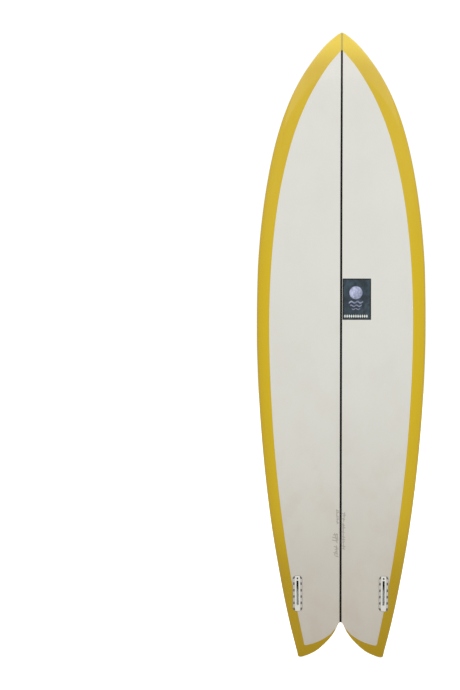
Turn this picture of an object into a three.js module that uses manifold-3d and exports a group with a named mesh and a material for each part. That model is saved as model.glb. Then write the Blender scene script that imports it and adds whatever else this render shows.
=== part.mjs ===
// Twin-fin fish surfboard: foam blank halves glued to a wooden stringer, glassed with a
// tinted deck laminate that wraps the rails to a cut-lap on the bottom, a clear bottom
// laminate, two fin boxes with grub screws and a leash plug.
//
// Millimetres. +Z runs from the tail tips (z = 0) to the nose, the deck faces +Y, the
// bottom faces -Y, +X is to the right when the bottom is looked at with the nose up.
import * as THREE from 'three';
import { mergeVertices } from 'three/addons/utils/BufferGeometryUtils.js';
import Module from 'manifold-3d';

const wasm = await Module();
wasm.setup();

// ---------------------------------------------------------------- driving dimensions
const LENGTH = 2083;            // 6 ft 10 in, tail tips to nose
const HALF_WIDTH = 270;         // widest half width, 21 1/4 in overall
const WIDE_POINT = 937.35;      // station where the bottom is lowest
const TAIL_ROCKER = 59;         // bottom lift at the tail tips
const NOSE_ROCKER = 124;        // bottom lift at the nose
const TAIL_ROCKER_POWER = 2.2;
const NOSE_ROCKER_POWER = 2.4;
const SKIN = 1.2;               // glass laminate with its filler coat
const GAP = 0.3;                // joint line between pieces
const STRINGER_HALF = 3.175;    // 1/4 in stringer
const BLANK_TAIL = -12;         // blank runs on past the tips before the tail is cut

// fin box, in its own frame: x across, y towards the nose, z out of the bottom
const BOX_X = 138.4, BOX_Z = 220.5;
const FLANGE = { halfL: 61, halfW: 15.75, r: 13, t: 2.2 };
const BODY = { y0: -52, y1: 57, halfW: 8.2, depth: 16.5 };
const SLOT = { y0: -40, y1: 43, step: 18.5, halfW: 3.1, front: 14.2, rear: 11 };
const BOND = { y0: -56, y1: 59, halfW: 14.4, depth: 18.4 };
const VENT = { x: 11.8, halfW: 2.3, halfL: 4.6, r: 1.8,
  ys: [-52.6, -32.5, -10.9, 10.6, 33.1, 53.2] };
const SCREW = { mouth: 51, tilt: 40, bore: 2.6, r: 2.25, top: 1.2, length: 8.3, hexR: 1.45, hexDepth: 3 };

// leash plug, axis square to the deck
const PLUG_X = -77.5, PLUG_Z = 98;
const PLUG = { rim: 0.3, cupR: 12.4, cavityR: 9.7, cavity: 15, cup: 17, ringR: 14.3, ring: 18.6,
  pinR: 2, pinHalf: 11.2, pinDepth: 6.6 };

// decal
const DECAL = { x0: 4.4, x1: 94.6, z0: 1100.1, z1: 1231, t: 0.35 };

// stations [z, half width]
const OUTLINE = [[-30, 132.4], [0, 139], [15, 141.8], [30, 145.2], [60, 152.4], [100, 161.8], [150, 172.4],
  [200, 182.3], [260, 193.2], [330, 205.3], [416, 218.9], [520, 232.7], [625, 244.3], [730, 253.8],
  [833, 261.2], [937, 266.7], [1041, 269.7], [1120, HALF_WIDTH], [1250, 268.4], [1354, 262.8],
  [1458, 253], [1562, 238.9], [1666, 219.8], [1750, 198.8], [1812, 179], [1870, 156.2], [1920, 132.3],
  [1960, 109.5], [1990, 90.4], [2015, 72.8], [2035, 57.6], [2050, 44.3], [2062, 31.8], [2070, 22.8],
  [2076, 15.5], [2080, 8.7], [2082, 4.4], [LENGTH, 0]];
// [z, thickness on the centre line]
const THICKNESS = [[-30, 12.4], [0, 14], [60, 19.5], [120, 25], [200, 32.5], [300, 41], [450, 51.5],
  [600, 59.5], [800, 66], [1000, 68], [1150, 67.5], [1300, 64.5], [1500, 57.5], [1650, 49.5], [1783, 41],
  [1870, 34], [1950, 26.5], [2020, 18], [2055, 13], [2070, 10.2], [2076, 8.3], [2080, 5.7], [2082, 3.3],
  [LENGTH, 0]];
// [z, height of the rail apex as a share of the thickness]
const APEX = [[-30, 0.22], [0, 0.22], [150, 0.27], [400, 0.33], [700, 0.35], [1040, 0.35], [1700, 0.33],
  [1950, 0.36], [2050, 0.45], [LENGTH, 0.5]];
// [z, width of the tucked edge under the rail]
const TUCK = [[-30, 5], [0, 6], [120, 12], [220, 18], [400, 28], [700, 40], [1050, 46], [1500, 62],
  [1800, 72], [1950, 52], [2035, 24], [2070, 8.5], [2080, 3.6], [2082, 2], [LENGTH, 0]];
// [z, squareness of the deck across the board]
const DECK_POWER = [[-30, 5], [0, 5], [150, 4.2], [300, 3.2], [600, 2.5], [1000, 2.2], [LENGTH, 2.1]];
// tail cut, right half [x, z]: crotch, swallow lobe, tip, corner
const TAIL_CUT = [[0, 122.2], [2.6, 121.6], [4.6, 120], [7.2, 116.6], [10.3, 110.2], [14.6, 100],
  [20.2, 88.4], [26.6, 78.2], [34, 67.6], [42.9, 57], [52, 47.2], [62, 37], [73.4, 26.6], [85, 18.2],
  [97.5, 11.3], [109.7, 5.9], [120, 2.3], [127, 0.5], [132, 0], [135.6, 0.3], [138.4, 2.2], [140.8, 6.5],
  [143, 14]];
// cut-lap line on the bottom, right half [x, z] from the nose point to the tail corner, then
// along the notch
const LAP = [[0, 2015], [23.6, 1984], [45.6, 1952.7], [63.6, 1922.5], [79.6, 1892.7], [94.7, 1863.3],
  [108.1, 1834.2], [120.1, 1805.4], [141, 1748.7], [158, 1693.1], [171.8, 1638.4], [183.6, 1584.4],
  [193.7, 1531.2], [201.9, 1478.5], [208.6, 1426.4], [218.5, 1323.3], [224.3, 1221.3], [226.8, 1120.2],
  [226.1, 1019.3], [222.9, 918.6], [217.8, 817.7], [211.1, 716.5], [202.3, 614.6], [191.4, 511.8],
  [178.4, 407.7], [163.1, 302.1], [150.2, 221.7], [136, 140], [125.9, 86], [120.6, 59], [118.6, 46.1],
  [117, 43.1], [113, 42.1], [102, 44.6], [84, 50.2], [62, 60.4], [46, 70.7], [32, 82], [18, 99.4]];

// ---------------------------------------------------------------- curves
function pchip(table, key = (z) => z) {
  const p = table.map(([z, v]) => [key(z), v]).sort((a, b) => a[0] - b[0]);
  const n = p.length, h = [], s = [], m = new Array(n);
  for (let i = 0; i < n - 1; i++) {
    h.push(p[i + 1][0] - p[i][0]);
    s.push((p[i + 1][1] - p[i][1]) / h[i]);
  }
  for (let i = 1; i < n - 1; i++) {
    if (s[i - 1] * s[i] <= 0) m[i] = 0;
    else {
      const a = 2 * h[i] + h[i - 1], b = h[i] + 2 * h[i - 1];
      m[i] = (a + b) / (a / s[i - 1] + b / s[i]);
    }
  }
  m[0] = s[0];
  m[n - 1] = s[n - 2];
  return (z) => {
    const k = Math.min(Math.max(key(z), p[0][0]), p[n - 1][0]);
    let i = 0;
    while (i < n - 2 && k > p[i + 1][0]) i++;
    const t = (k - p[i][0]) / h[i], t2 = t * t, t3 = t2 * t;
    return p[i][1] * (2 * t3 - 3 * t2 + 1) + m[i] * h[i] * (t3 - 2 * t2 + t)
      + p[i + 1][1] * (3 * t2 - 2 * t3) + m[i + 1] * h[i] * (t3 - t2);
  };
}
const fromNose = (z) => -Math.sqrt(Math.max(LENGTH - z, 0));   // keeps the tip round
const halfWidth = pchip(OUTLINE, fromNose);
const thickness = pchip(THICKNESS, fromNose);
const apexShare = pchip(APEX);
const tuck = pchip(TUCK, fromNose);
const deckPower = pchip(DECK_POWER);
const rocker = (z) => (z < WIDE_POINT
  ? TAIL_ROCKER * ((WIDE_POINT - z) / WIDE_POINT) ** TAIL_ROCKER_POWER
  : NOSE_ROCKER * ((z - WIDE_POINT) / (LENGTH - WIDE_POINT)) ** NOSE_ROCKER_POWER);
const deckHeight = (x, z) => {
  const T = thickness(z), a = T * apexShare(z), q = Math.min(Math.abs(x) / halfWidth(z), 1);
  return rocker(z) + a + (T - a) * Math.sqrt(1 - q ** deckPower(z));
};

// ---------------------------------------------------------------- solids
function toManifold(geometry) {
  const g = geometry.clone();
  for (const name of Object.keys(g.attributes)) if (name !== 'position') g.deleteAttribute(name);
  const merged = mergeVertices(g, 1e-4);
  const index = merged.index
    ? merged.index.array : Uint32Array.from({ length: merged.attributes.position.count }, (_, i) => i);
  return new wasm.Manifold(new wasm.Mesh({
    numProp: 3,
    vertProperties: Float32Array.from(merged.attributes.position.array),
    triVerts: Uint32Array.from(index),
  }));
}
function toGeometry(solid) {
  const mesh = solid.getMesh();
  const g = new THREE.BufferGeometry();
  const p = new Float32Array(mesh.numVert * 3);
  for (let i = 0; i < mesh.numVert; i++) {
    for (let k = 0; k < 3; k++) p[3 * i + k] = mesh.vertProperties[i * mesh.numProp + k];
  }
  g.setAttribute('position', new THREE.BufferAttribute(p, 3));
  g.setIndex(new THREE.BufferAttribute(Uint32Array.from(mesh.triVerts), 1));
  return g;
}
// prism of an outline in the X-Z plane between two heights in Y
function prismXZ(points, y0, y1) {
  const g = new THREE.ExtrudeGeometry(new THREE.Shape(points.map(([x, z]) => new THREE.Vector2(x, z))),
    { depth: y1 - y0, bevelEnabled: false, steps: 1 });
  g.rotateX(Math.PI / 2);
  g.translate(0, y1, 0);
  return toManifold(g);
}
// prism of an outline in the Z-Y plane across the whole board
function prismZY(points, x0, x1) {
  const g = new THREE.ExtrudeGeometry(new THREE.Shape(points.map(([z, y]) => new THREE.Vector2(z, y))),
    { depth: x1 - x0, bevelEnabled: false, steps: 1 });
  g.rotateY(-Math.PI / 2);            // z -> x reversed, x -> z
  g.translate(x1, 0, 0);
  return toManifold(g);
}
function box(x0, x1, y0, y1, z0, z1) {
  const g = new THREE.BoxGeometry(x1 - x0, y1 - y0, z1 - z0);
  g.translate((x0 + x1) / 2, (y0 + y1) / 2, (z0 + z1) / 2);
  return toManifold(g);
}
// moves each corner of a polyline sideways by d (to its right when walked in order)
function offset(points, d, closed = false) {
  const n = points.length;
  return points.map((p, i) => {
    const a = points[closed ? (i + n - 1) % n : Math.max(i - 1, 0)];
    const b = points[closed ? (i + 1) % n : Math.min(i + 1, n - 1)];
    const e = [];
    for (const [u, v] of [[a, p], [p, b]]) {
      const l = Math.hypot(v[0] - u[0], v[1] - u[1]);
      if (l > 1e-9) e.push([(v[1] - u[1]) / l, -(v[0] - u[0]) / l]);
    }
    const m = e.length === 2 ? [e[0][0] + e[1][0], e[0][1] + e[1][1]] : [2 * e[0][0], 2 * e[0][1]];
    const k = 2 / (m[0] * m[0] + m[1] * m[1]);
    return [p[0] + d * m[0] * k, p[1] + d * m[1] * k];
  });
}
const mirrored = (half) => [...half, ...half.slice(1).reverse().map(([x, z]) => [-x, z])];

// everything below the tail line, moved into the board by d
function tailCutter(d) {
  const right = offset([[-2.6, 121.6], ...TAIL_CUT], -d).slice(1);
  right[0][0] = 0;
  const last = right[right.length - 1];
  const half = [...right, [last[0] + 30, last[1] + 4], [last[0] + 30, -60]];
  return prismXZ(mirrored(half), -80, 260);
}

// stations along the blank, closer together where the outline turns
const STATIONS = [BLANK_TAIL, 0, 42, 86, 130, 190, 250, 325, 430, 560, 710, 850, 990, 1120, 1250, 1375,
  1490, 1595, 1695, 1785, 1862, 1925, 1978, 2018, 2046, 2065, 2077];
const TUCK_STEPS = [0, 36, 66, 90];
const DECK_STEPS = [75, 58, 42, 27, 13];

// the shaped blank, moved inwards everywhere by d
function blank(d) {
  const rings = [];
  for (const z of STATIONS) {
    const slope = (halfWidth(z + 0.5) - halfWidth(z - 0.5));
    const w = Math.max(halfWidth(z) - d * Math.sqrt(1 + slope * slope), 0);
    const T = thickness(z) - 2 * d, a = thickness(z) * apexShare(z) - d;
    if (w < 1.2 || T < 1.2 || a < 0.2) continue;
    const y = rocker(z) + d, power = deckPower(z), flat = Math.max(w - Math.min(tuck(z), 0.9 * w), 0);
    const half = [[0, y], [flat * 0.55, y]];
    for (const deg of TUCK_STEPS) {
      const f = THREE.MathUtils.degToRad(deg);
      half.push([flat + (w - flat) * Math.sin(f), y + a * (1 - Math.cos(f))]);
    }
    for (const deg of DECK_STEPS) {
      const f = THREE.MathUtils.degToRad(deg);
      half.push([w * Math.sin(f) ** (2 / power), y + a + (T - a) * Math.cos(f)]);
    }
    half.push([0, y + T]);
    const ring = [...half, ...half.slice(1, -1).reverse().map(([x, v]) => [-x, v])];
    rings.push(ring.map(([x, v]) => [x, v, z]));
  }
  const tipZ = LENGTH - d * 1.6;
  const tip = [0, rocker(tipZ) + thickness(tipZ) * apexShare(tipZ), tipZ];
  const n = rings[0].length, verts = rings.flat(), tris = [];
  for (let i = 0; i + 1 < rings.length; i++) {
    for (let j = 0; j < n; j++) {
      const a = i * n + j, b = i * n + (j + 1) % n, c = a + n, e = b + n;
      tris.push(a, b, e, a, e, c);
    }
  }
  const tail = verts.length;
  verts.push([0, rings[0][0][1] + 4, rings[0][0][2]], tip);
  const last = (rings.length - 1) * n;
  for (let j = 0; j < n; j++) {
    tris.push(tail, (j + 1) % n, j);
    tris.push(tail + 1, last + j, last + (j + 1) % n);
  }
  const g = new THREE.BufferGeometry();
  g.setAttribute('position', new THREE.Float32BufferAttribute(verts.flat(), 3));
  g.setIndex(tris);
  return toManifold(g).subtract(tailCutter(d));
}
// everything below the bottom face moved in by h
const belowBottom = (h) => prismZY([[-60, -80], ...STATIONS.map((z) => [z, rocker(z) + h]),
  [LENGTH, NOSE_ROCKER + h], [LENGTH + 40, NOSE_ROCKER + h + 12], [LENGTH + 40, -80]], -330, 330);
// everything above a share of the thickness
const aboveShare = (k, h) => prismZY([...STATIONS.map((z) => [z, rocker(z) + k * thickness(z) + h]),
  [2081, 300], [BLANK_TAIL, 300]], -330, 330);

// ---------------------------------------------------------------- small shapes
function roundedShape(y0, y1, halfW, r) {
  const s = new THREE.Shape();
  s.moveTo(halfW, y0 + r);
  s.lineTo(halfW, y1 - r);
  s.absarc(halfW - r, y1 - r, r, 0, Math.PI / 2, false);
  if (r < halfW) s.lineTo(-halfW + r, y1);
  s.absarc(-halfW + r, y1 - r, r, Math.PI / 2, Math.PI, false);
  s.lineTo(-halfW, y0 + r);
  s.absarc(-halfW + r, y0 + r, r, Math.PI, 1.5 * Math.PI, false);
  if (r < halfW) s.lineTo(halfW - r, y0);
  s.absarc(halfW - r, y0 + r, r, 1.5 * Math.PI, 2 * Math.PI, false);
  return s;
}
function slab(shape, z0, z1, segments = 4) {
  const g = new THREE.ExtrudeGeometry(shape, { depth: z1 - z0, bevelEnabled: false, steps: 1, curveSegments: segments });
  g.translate(0, 0, z0);
  return toManifold(g);
}
function lathe(profile, segments = 32) {
  return new THREE.LatheGeometry(profile.map(([r, y]) => new THREE.Vector2(r, y)), segments);
}
function rod(r, from, to, segments = 20) {
  const a = new THREE.Vector3(...from), b = new THREE.Vector3(...to), dir = b.clone().sub(a);
  const g = new THREE.CylinderGeometry(r, r, dir.length(), segments);
  g.applyQuaternion(new THREE.Quaternion().setFromUnitVectors(new THREE.Vector3(0, 1, 0), dir.clone().normalize()));
  const c = a.add(b).multiplyScalar(0.5);
  g.translate(c.x, c.y, c.z);
  return toManifold(g);
}

// ---------------------------------------------------------------- fin box frame
const boxSlope = (rocker(BOX_Z + 1) - rocker(BOX_Z - 1)) / 2;      // negative at the tail
const boxTurn = Math.PI / 2 + Math.atan(-boxSlope);
function boxMatrix(side) {
  return new THREE.Matrix4().makeRotationX(boxTurn)
    .setPosition(new THREE.Vector3(side * BOX_X, rocker(BOX_Z), BOX_Z));
}
const placed = (solid, side) => solid.transform(boxMatrix(side).elements.slice());

const tilt = THREE.MathUtils.degToRad(SCREW.tilt);
const screwDir = [0, -Math.sin(tilt), -Math.cos(tilt)];
const alongScrew = (s) => [0, SCREW.mouth + screwDir[1] * s, screwDir[2] * s];

function finBox() {
  let s = slab(roundedShape(-FLANGE.halfL, FLANGE.halfL, FLANGE.halfW, FLANGE.r), -FLANGE.t, 0)
    .add(slab(roundedShape(BODY.y0, BODY.y1, BODY.halfW, BODY.halfW - 0.01), -BODY.depth, -0.4));
  s = s.subtract(slab(roundedShape(SLOT.step, SLOT.y1, SLOT.halfW, 1.2), -SLOT.front, 1, 2));
  s = s.subtract(slab(roundedShape(SLOT.y0, SLOT.step + 3, SLOT.halfW, 1.2), -SLOT.rear, 1, 2));
  for (const side of [-1, 1]) {
    for (const y of VENT.ys) {
      const lean = Math.abs(y) > 50 ? -Math.sign(y) * side * 0.38 : 0;
      const x = Math.abs(y) > 50 ? VENT.x - 1 : VENT.x;
      const g = new THREE.ExtrudeGeometry(roundedShape(-VENT.halfL, VENT.halfL, VENT.halfW, VENT.r),
        { depth: 6, bevelEnabled: false, steps: 1, curveSegments: 1 });
      g.rotateZ(-lean);
      g.translate(side * x, y, -4.6);
      s = s.subtract(toManifold(g));
    }
  }
  return s.subtract(rod(SCREW.bore, alongScrew(-5), alongScrew(15), 14));
}
function finBond() {
  const outer = slab(roundedShape(BOND.y0, BOND.y1, BOND.halfW, 13), -BOND.depth, -FLANGE.t - GAP);
  const inner = slab(roundedShape(BODY.y0 - GAP, BODY.y1 + GAP, BODY.halfW + GAP, BODY.halfW + GAP - 0.01),
    -BODY.depth - GAP, 1);
  return outer.subtract(inner);
}
function finPocket() {
  return slab(roundedShape(-FLANGE.halfL - GAP, FLANGE.halfL + GAP, FLANGE.halfW + GAP, FLANGE.r + GAP),
    -FLANGE.t - GAP, 6)
    .add(slab(roundedShape(BOND.y0 - GAP, BOND.y1 + GAP, BOND.halfW + GAP, 13.3), -BOND.depth - GAP, 0));
}
const flangeHole = () => slab(roundedShape(-FLANGE.halfL - GAP, FLANGE.halfL + GAP, FLANGE.halfW + GAP,
  FLANGE.r + GAP), -6, 6);
function grubScrew() {
  const thread = [];
  const pitch = 1.7, turns = Math.floor((SCREW.length - 1.4) / pitch);
  thread.push([0, 0], [SCREW.r - 0.6, 0], [SCREW.r - 0.15, 0.5]);
  for (let i = 0; i < turns; i++) {
    const y = 0.6 + i * pitch;
    thread.push([SCREW.r - 0.45, y + 0.35], [SCREW.r, y + 1.1]);
  }
  thread.push([SCREW.r - 0.3, SCREW.length - 0.2], [SCREW.r - 0.5, SCREW.length], [0, SCREW.length]);
  let s = toManifold(lathe(thread, 12));
  s = s.subtract(toManifold(new THREE.CylinderGeometry(SCREW.hexR, SCREW.hexR, SCREW.hexDepth + 1, 6)
    .translate(0, SCREW.length - SCREW.hexDepth / 2 + 0.5, 0)));
  return s;
}

// ---------------------------------------------------------------- board
const outer = blank(0);
const skinInside = blank(SKIN);
const foamOuter = blank(SKIN + GAP);

function lapPrism(d) {
  const half = offset([[-LAP[1][0], LAP[1][1]], ...LAP], d).slice(1);
  half[0][0] = 0;
  return prismXZ(mirrored(half), -80, 260);
}
const lapBottom = lapPrism(GAP / 2).subtract(tailCutter(SKIN + GAP));
const lapDeck = lapPrism(-GAP / 2).subtract(tailCutter(SKIN));

const flangeHoles = placed(flangeHole(), -1).add(placed(flangeHole(), 1));
const finPockets = placed(finPocket(), -1).add(placed(finPocket(), 1));

const plugTop = deckHeight(PLUG_X, PLUG_Z) + PLUG.rim;
const plugHole = toManifold(lathe([[0, -PLUG.ring - GAP], [PLUG.ringR + GAP, -PLUG.ring - GAP],
  [PLUG.ringR + GAP, 12], [0, 12]], 24).translate(PLUG_X, plugTop, PLUG_Z));

const decalHole = box(DECAL.x0 - GAP, DECAL.x1 + GAP, -80, 40, DECAL.z0 - GAP, DECAL.z1 + GAP)
  .intersect(belowBottom(DECAL.t + GAP));

const bottomLaminate = outer.intersect(lapBottom).intersect(belowBottom(SKIN))
  .subtract(flangeHoles).subtract(decalHole);
const deckLaminate = outer.subtract(skinInside).subtract(lapDeck.intersect(belowBottom(SKIN + 1.2)))
  .subtract(flangeHoles).subtract(plugHole);
const decal = outer.intersect(box(DECAL.x0, DECAL.x1, -80, 40, DECAL.z0, DECAL.z1)
  .intersect(belowBottom(DECAL.t)));

// second deck cloth, inside the deck laminate over the rear and middle of the deck
const PATCH_T = 0.6;
function patchOutline(grow) {
  const half = [[0, 1150 + grow]];
  for (const [x, z] of [[120, 1142], [175, 1120], [205, 1085], [216, 1030]]) half.push([x + grow, z]);
  for (const z of [900, 740, 560, 400, 260, 150]) half.push([halfWidth(z) * 0.8 + grow, z]);
  half.push([112 + grow, 60], [108 + grow, 36 - grow], [0, 36 - grow]);
  return mirrored(half);
}
const deckPatch = foamOuter.subtract(blank(SKIN + GAP + PATCH_T))
  .intersect(prismXZ(patchOutline(0), -80, 260)).intersect(aboveShare(0.6, 0))
  .subtract(tailCutter(9)).subtract(plugHole);
const deckPatchRoom = blank(SKIN + GAP - 0.2).subtract(blank(SKIN + 2 * GAP + PATCH_T))
  .intersect(prismXZ(patchOutline(GAP), -80, 260)).intersect(aboveShare(0.6, -GAP))
  .subtract(tailCutter(9 - GAP));

// oval cloth patch under the bottom laminate round each fin box
const OVAL = { halfL: 88, halfW: 29, t: 0.5 };
function oval(grow, side) {
  const pts = [];
  for (let i = 0; i < 24; i++) {
    const f = (i / 24) * 2 * Math.PI;
    pts.push([side * BOX_X + (OVAL.halfW + grow) * Math.cos(f), BOX_Z + (OVAL.halfL + grow) * Math.sin(f)]);
  }
  return prismXZ(pts, -80, 54);
}
const finPatch = (side) => foamOuter.subtract(blank(SKIN + GAP + OVAL.t)).intersect(oval(0, side))
  .subtract(flangeHoles);
const ovalShell = blank(SKIN + GAP - 0.2).subtract(blank(SKIN + 2 * GAP + OVAL.t));
const ovalRoom = ovalShell.intersect(oval(GAP, -1)).add(ovalShell.intersect(oval(GAP, 1)));

const core = foamOuter.subtract(deckPatchRoom).subtract(ovalRoom).subtract(finPockets).subtract(plugHole);
const foamRight = core.intersect(box(STRINGER_HALF + GAP, 330, -80, 260, -40, 2120));
const foamLeft = core.intersect(box(-330, -STRINGER_HALF - GAP, -80, 260, -40, 2120));
const stringer = core.intersect(box(-STRINGER_HALF, STRINGER_HALF, -80, 260, -40, 2120));

// ---------------------------------------------------------------- scene
const board = new THREE.Group();
function material(color, roughness, metalness = 0) {
  return new THREE.MeshStandardMaterial({ color, roughness, metalness });
}
function piece(name, geometry, mat, parent = board) {
  const mesh = new THREE.Mesh(geometry, mat);
  mesh.name = name;
  parent.add(mesh);
  return mesh;
}
const tinted = material(0xd6b838, 0.18), clear = material(0xdedcd4, 0.16), foam = material(0xf1efe6, 0.85);
const clothWhite = material(0xe9e8e0, 0.6), whitePlastic = material(0xd8dad6, 0.3);
const resin = material(0x8f8d86, 0.35), steel = material(0x8c9095, 0.3, 1), blackPlastic = material(0x0e0e12, 0.3);

piece('foam_core_left', toGeometry(foamLeft), foam);
piece('foam_core_right', toGeometry(foamRight), foam);
piece('stringer', toGeometry(stringer), material(0x1a1712, 0.5));
piece('deck_laminate', toGeometry(deckLaminate), tinted);
piece('bottom_laminate', toGeometry(bottomLaminate), clear);
piece('deck_patch', toGeometry(deckPatch), clothWhite);
piece('decal', toGeometry(decal), material(0x3e4951, 0.2));

for (const [side, name] of [[-1, 'left'], [1, 'right']]) {
  piece(`fin_patch_${name}`, toGeometry(finPatch(side)), clothWhite);
  const seat = new THREE.Group();
  seat.position.set(side * BOX_X, rocker(BOX_Z), BOX_Z);
  seat.rotation.x = boxTurn;
  board.add(seat);
  piece(`fin_box_${name}`, toGeometry(finBox()), whitePlastic, seat);
  piece(`fin_box_bond_${name}`, toGeometry(finBond()), resin, seat);
  const screw = piece(`fin_screw_${name}`, toGeometry(grubScrew()), steel, seat);
  const end = alongScrew(SCREW.top + SCREW.length);
  screw.position.set(...end);
  screw.quaternion.setFromUnitVectors(new THREE.Vector3(0, 1, 0),
    new THREE.Vector3(-screwDir[0], -screwDir[1], -screwDir[2]));
}

const plug = new THREE.Group();
plug.position.set(PLUG_X, plugTop, PLUG_Z);
board.add(plug);
// the pin crosses the cup diagonally
const pinEnds = (half) => [-1, 1].map((k) => [k * half * Math.SQRT1_2, -PLUG.pinDepth, k * half * Math.SQRT1_2]);
const pinHole = rod(PLUG.pinR + GAP, ...pinEnds(PLUG.pinHalf + GAP), 12);
piece('leash_plug_ring', lathe([[0, -PLUG.ring], [PLUG.ringR, -PLUG.ring], [PLUG.ringR, -PLUG.rim],
  [PLUG.cupR + GAP, -PLUG.rim], [PLUG.cupR + GAP, -PLUG.cup - GAP], [0, -PLUG.cup - GAP]], 24), resin, plug);
piece('leash_plug_cup', toGeometry(toManifold(lathe([[0, -PLUG.cup], [PLUG.cupR, -PLUG.cup], [PLUG.cupR, -0.6],
  [PLUG.cupR - 0.6, 0], [PLUG.cavityR + 0.5, 0], [PLUG.cavityR, -0.5], [PLUG.cavityR, -PLUG.cavity + 1],
  [PLUG.cavityR - 1, -PLUG.cavity], [0, -PLUG.cavity]], 24)).subtract(pinHole)), blackPlastic, plug);
piece('leash_plug_pin', toGeometry(rod(PLUG.pinR, ...pinEnds(PLUG.pinHalf), 12)),
  steel, plug);

export default board;
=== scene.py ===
import bpy
import math
import numpy as np
from mathutils import Matrix, Vector


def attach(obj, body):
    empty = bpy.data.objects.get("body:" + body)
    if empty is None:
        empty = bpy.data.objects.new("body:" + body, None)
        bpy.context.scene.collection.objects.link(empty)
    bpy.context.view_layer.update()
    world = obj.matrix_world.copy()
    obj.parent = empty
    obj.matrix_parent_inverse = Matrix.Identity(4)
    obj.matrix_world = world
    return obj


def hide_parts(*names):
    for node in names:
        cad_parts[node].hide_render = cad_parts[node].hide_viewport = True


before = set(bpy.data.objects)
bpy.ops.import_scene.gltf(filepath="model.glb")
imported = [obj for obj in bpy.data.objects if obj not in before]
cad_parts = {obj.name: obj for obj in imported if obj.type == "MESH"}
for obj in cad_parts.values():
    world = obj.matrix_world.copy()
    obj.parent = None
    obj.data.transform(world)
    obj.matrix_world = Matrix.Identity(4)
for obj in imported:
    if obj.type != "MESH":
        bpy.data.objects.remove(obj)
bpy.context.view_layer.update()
scene = bpy.context.scene

# ------------------------------------------------------------------ camera
PX = 500.03                       # focal length in pixels of a 690-pixel-high frame
TURN = math.radians(0.5)         # the camera stands a little to the right of square on
cam_data = bpy.data.cameras.new("camera")
cam_data.sensor_width = 36.0
cam_data.lens = PX * 36.0 / 690.0
cam_data.shift_x = -111.0 / 690.0
cam_data.clip_start, cam_data.clip_end = 0.05, 50
cam = bpy.data.objects.new("camera", cam_data)
scene.collection.objects.link(cam)
cam.matrix_world = (Matrix.Rotation(TURN, 4, "Z") @ Matrix.Translation((0, -1.576, 1.0207))
                    @ Matrix.Rotation(math.radians(90), 4, "X")
                    @ Matrix.Rotation(math.radians(0.13), 4, "Z"))
scene.camera = cam

# ------------------------------------------------------------------ the board's own numbers, mm
L = 2083.0
WIDE_POINT, TAIL_ROCKER, NOSE_ROCKER = 937.35, 59.0, 124.0
SKIN = 1.2
OUTLINE = [[-30, 132.4], [0, 139], [15, 141.8], [30, 145.2], [60, 152.4], [100, 161.8], [150, 172.4],
  [200, 182.3], [260, 193.2], [330, 205.3], [416, 218.9], [520, 232.7], [625, 244.3], [730, 253.8],
  [833, 261.2], [937, 266.7], [1041, 269.7], [1120, 270.0], [1250, 268.4], [1354, 262.8],
  [1458, 253], [1562, 238.9], [1666, 219.8], [1750, 198.8], [1812, 179], [1870, 156.2], [1920, 132.3],
  [1960, 109.5], [1990, 90.4], [2015, 72.8], [2035, 57.6], [2050, 44.3], [2062, 31.8], [2070, 22.8],
  [2076, 15.5], [2080, 8.7], [2082, 4.4], [2083.0, 0]]
THICKNESS = [[-30, 12.4], [0, 14], [60, 19.5], [120, 25], [200, 32.5], [300, 41], [450, 51.5],
             [600, 59.5], [800, 66], [1000, 68], [1150, 67.5], [1300, 64.5], [1500, 57.5], [1650, 49.5], [1783, 41],
             [1870, 34], [1950, 26.5], [2020, 18], [2055, 13], [2070, 10.2], [2076, 8.3], [2080, 5.7], [2082, 3.3],
             [2083, 0]]
APEX = [[-30, 0.22], [0, 0.22], [150, 0.27], [400, 0.33], [700, 0.35], [1040, 0.35], [1700, 0.33],
        [1950, 0.36], [2050, 0.45], [2083, 0.5]]
TUCK = [[-30, 5], [0, 6], [120, 12], [220, 18], [400, 28], [700, 40], [1050, 46], [1500, 62],
        [1800, 72], [1950, 52], [2035, 24], [2070, 8.5], [2080, 3.6], [2082, 2], [2083, 0]]
DECK_POWER = [[-30, 5], [0, 5], [150, 4.2], [300, 3.2], [600, 2.5], [1000, 2.2], [2083, 2.1]]
TAIL_CUT = [[0, 122.2], [2.6, 121.6], [4.6, 120], [7.2, 116.6], [10.3, 110.2], [14.6, 100],
  [20.2, 88.4], [26.6, 78.2], [34, 67.6], [42.9, 57], [52, 47.2], [62, 37], [73.4, 26.6], [85, 18.2],
  [97.5, 11.3], [109.7, 5.9], [120, 2.3], [127, 0.5], [132, 0], [135.6, 0.3], [138.4, 2.2], [140.8, 6.5],
  [143, 14]]
LAP = [[0, 2015], [23.6, 1984], [45.6, 1952.7], [63.6, 1922.5], [79.6, 1892.7], [94.7, 1863.3],
  [108.1, 1834.2], [120.1, 1805.4], [141, 1748.7], [158, 1693.1], [171.8, 1638.4], [183.6, 1584.4],
  [193.7, 1531.2], [201.9, 1478.5], [208.6, 1426.4], [218.5, 1323.3], [224.3, 1221.3], [226.8, 1120.2],
  [226.1, 1019.3], [222.9, 918.6], [217.8, 817.7], [211.1, 716.5], [202.3, 614.6], [191.4, 511.8],
  [178.4, 407.7], [163.1, 302.1], [150.2, 221.7], [136, 140], [125.9, 86], [120.6, 59], [118.6, 46.1],
  [117, 43.1], [113, 42.1], [102, 44.6], [84, 50.2], [62, 60.4], [46, 70.7], [32, 82], [18, 99.4]]
BOX_X, BOX_Z = 138.4, 220.5
PLUG_X, PLUG_Z = -77.5, 98.0


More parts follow.
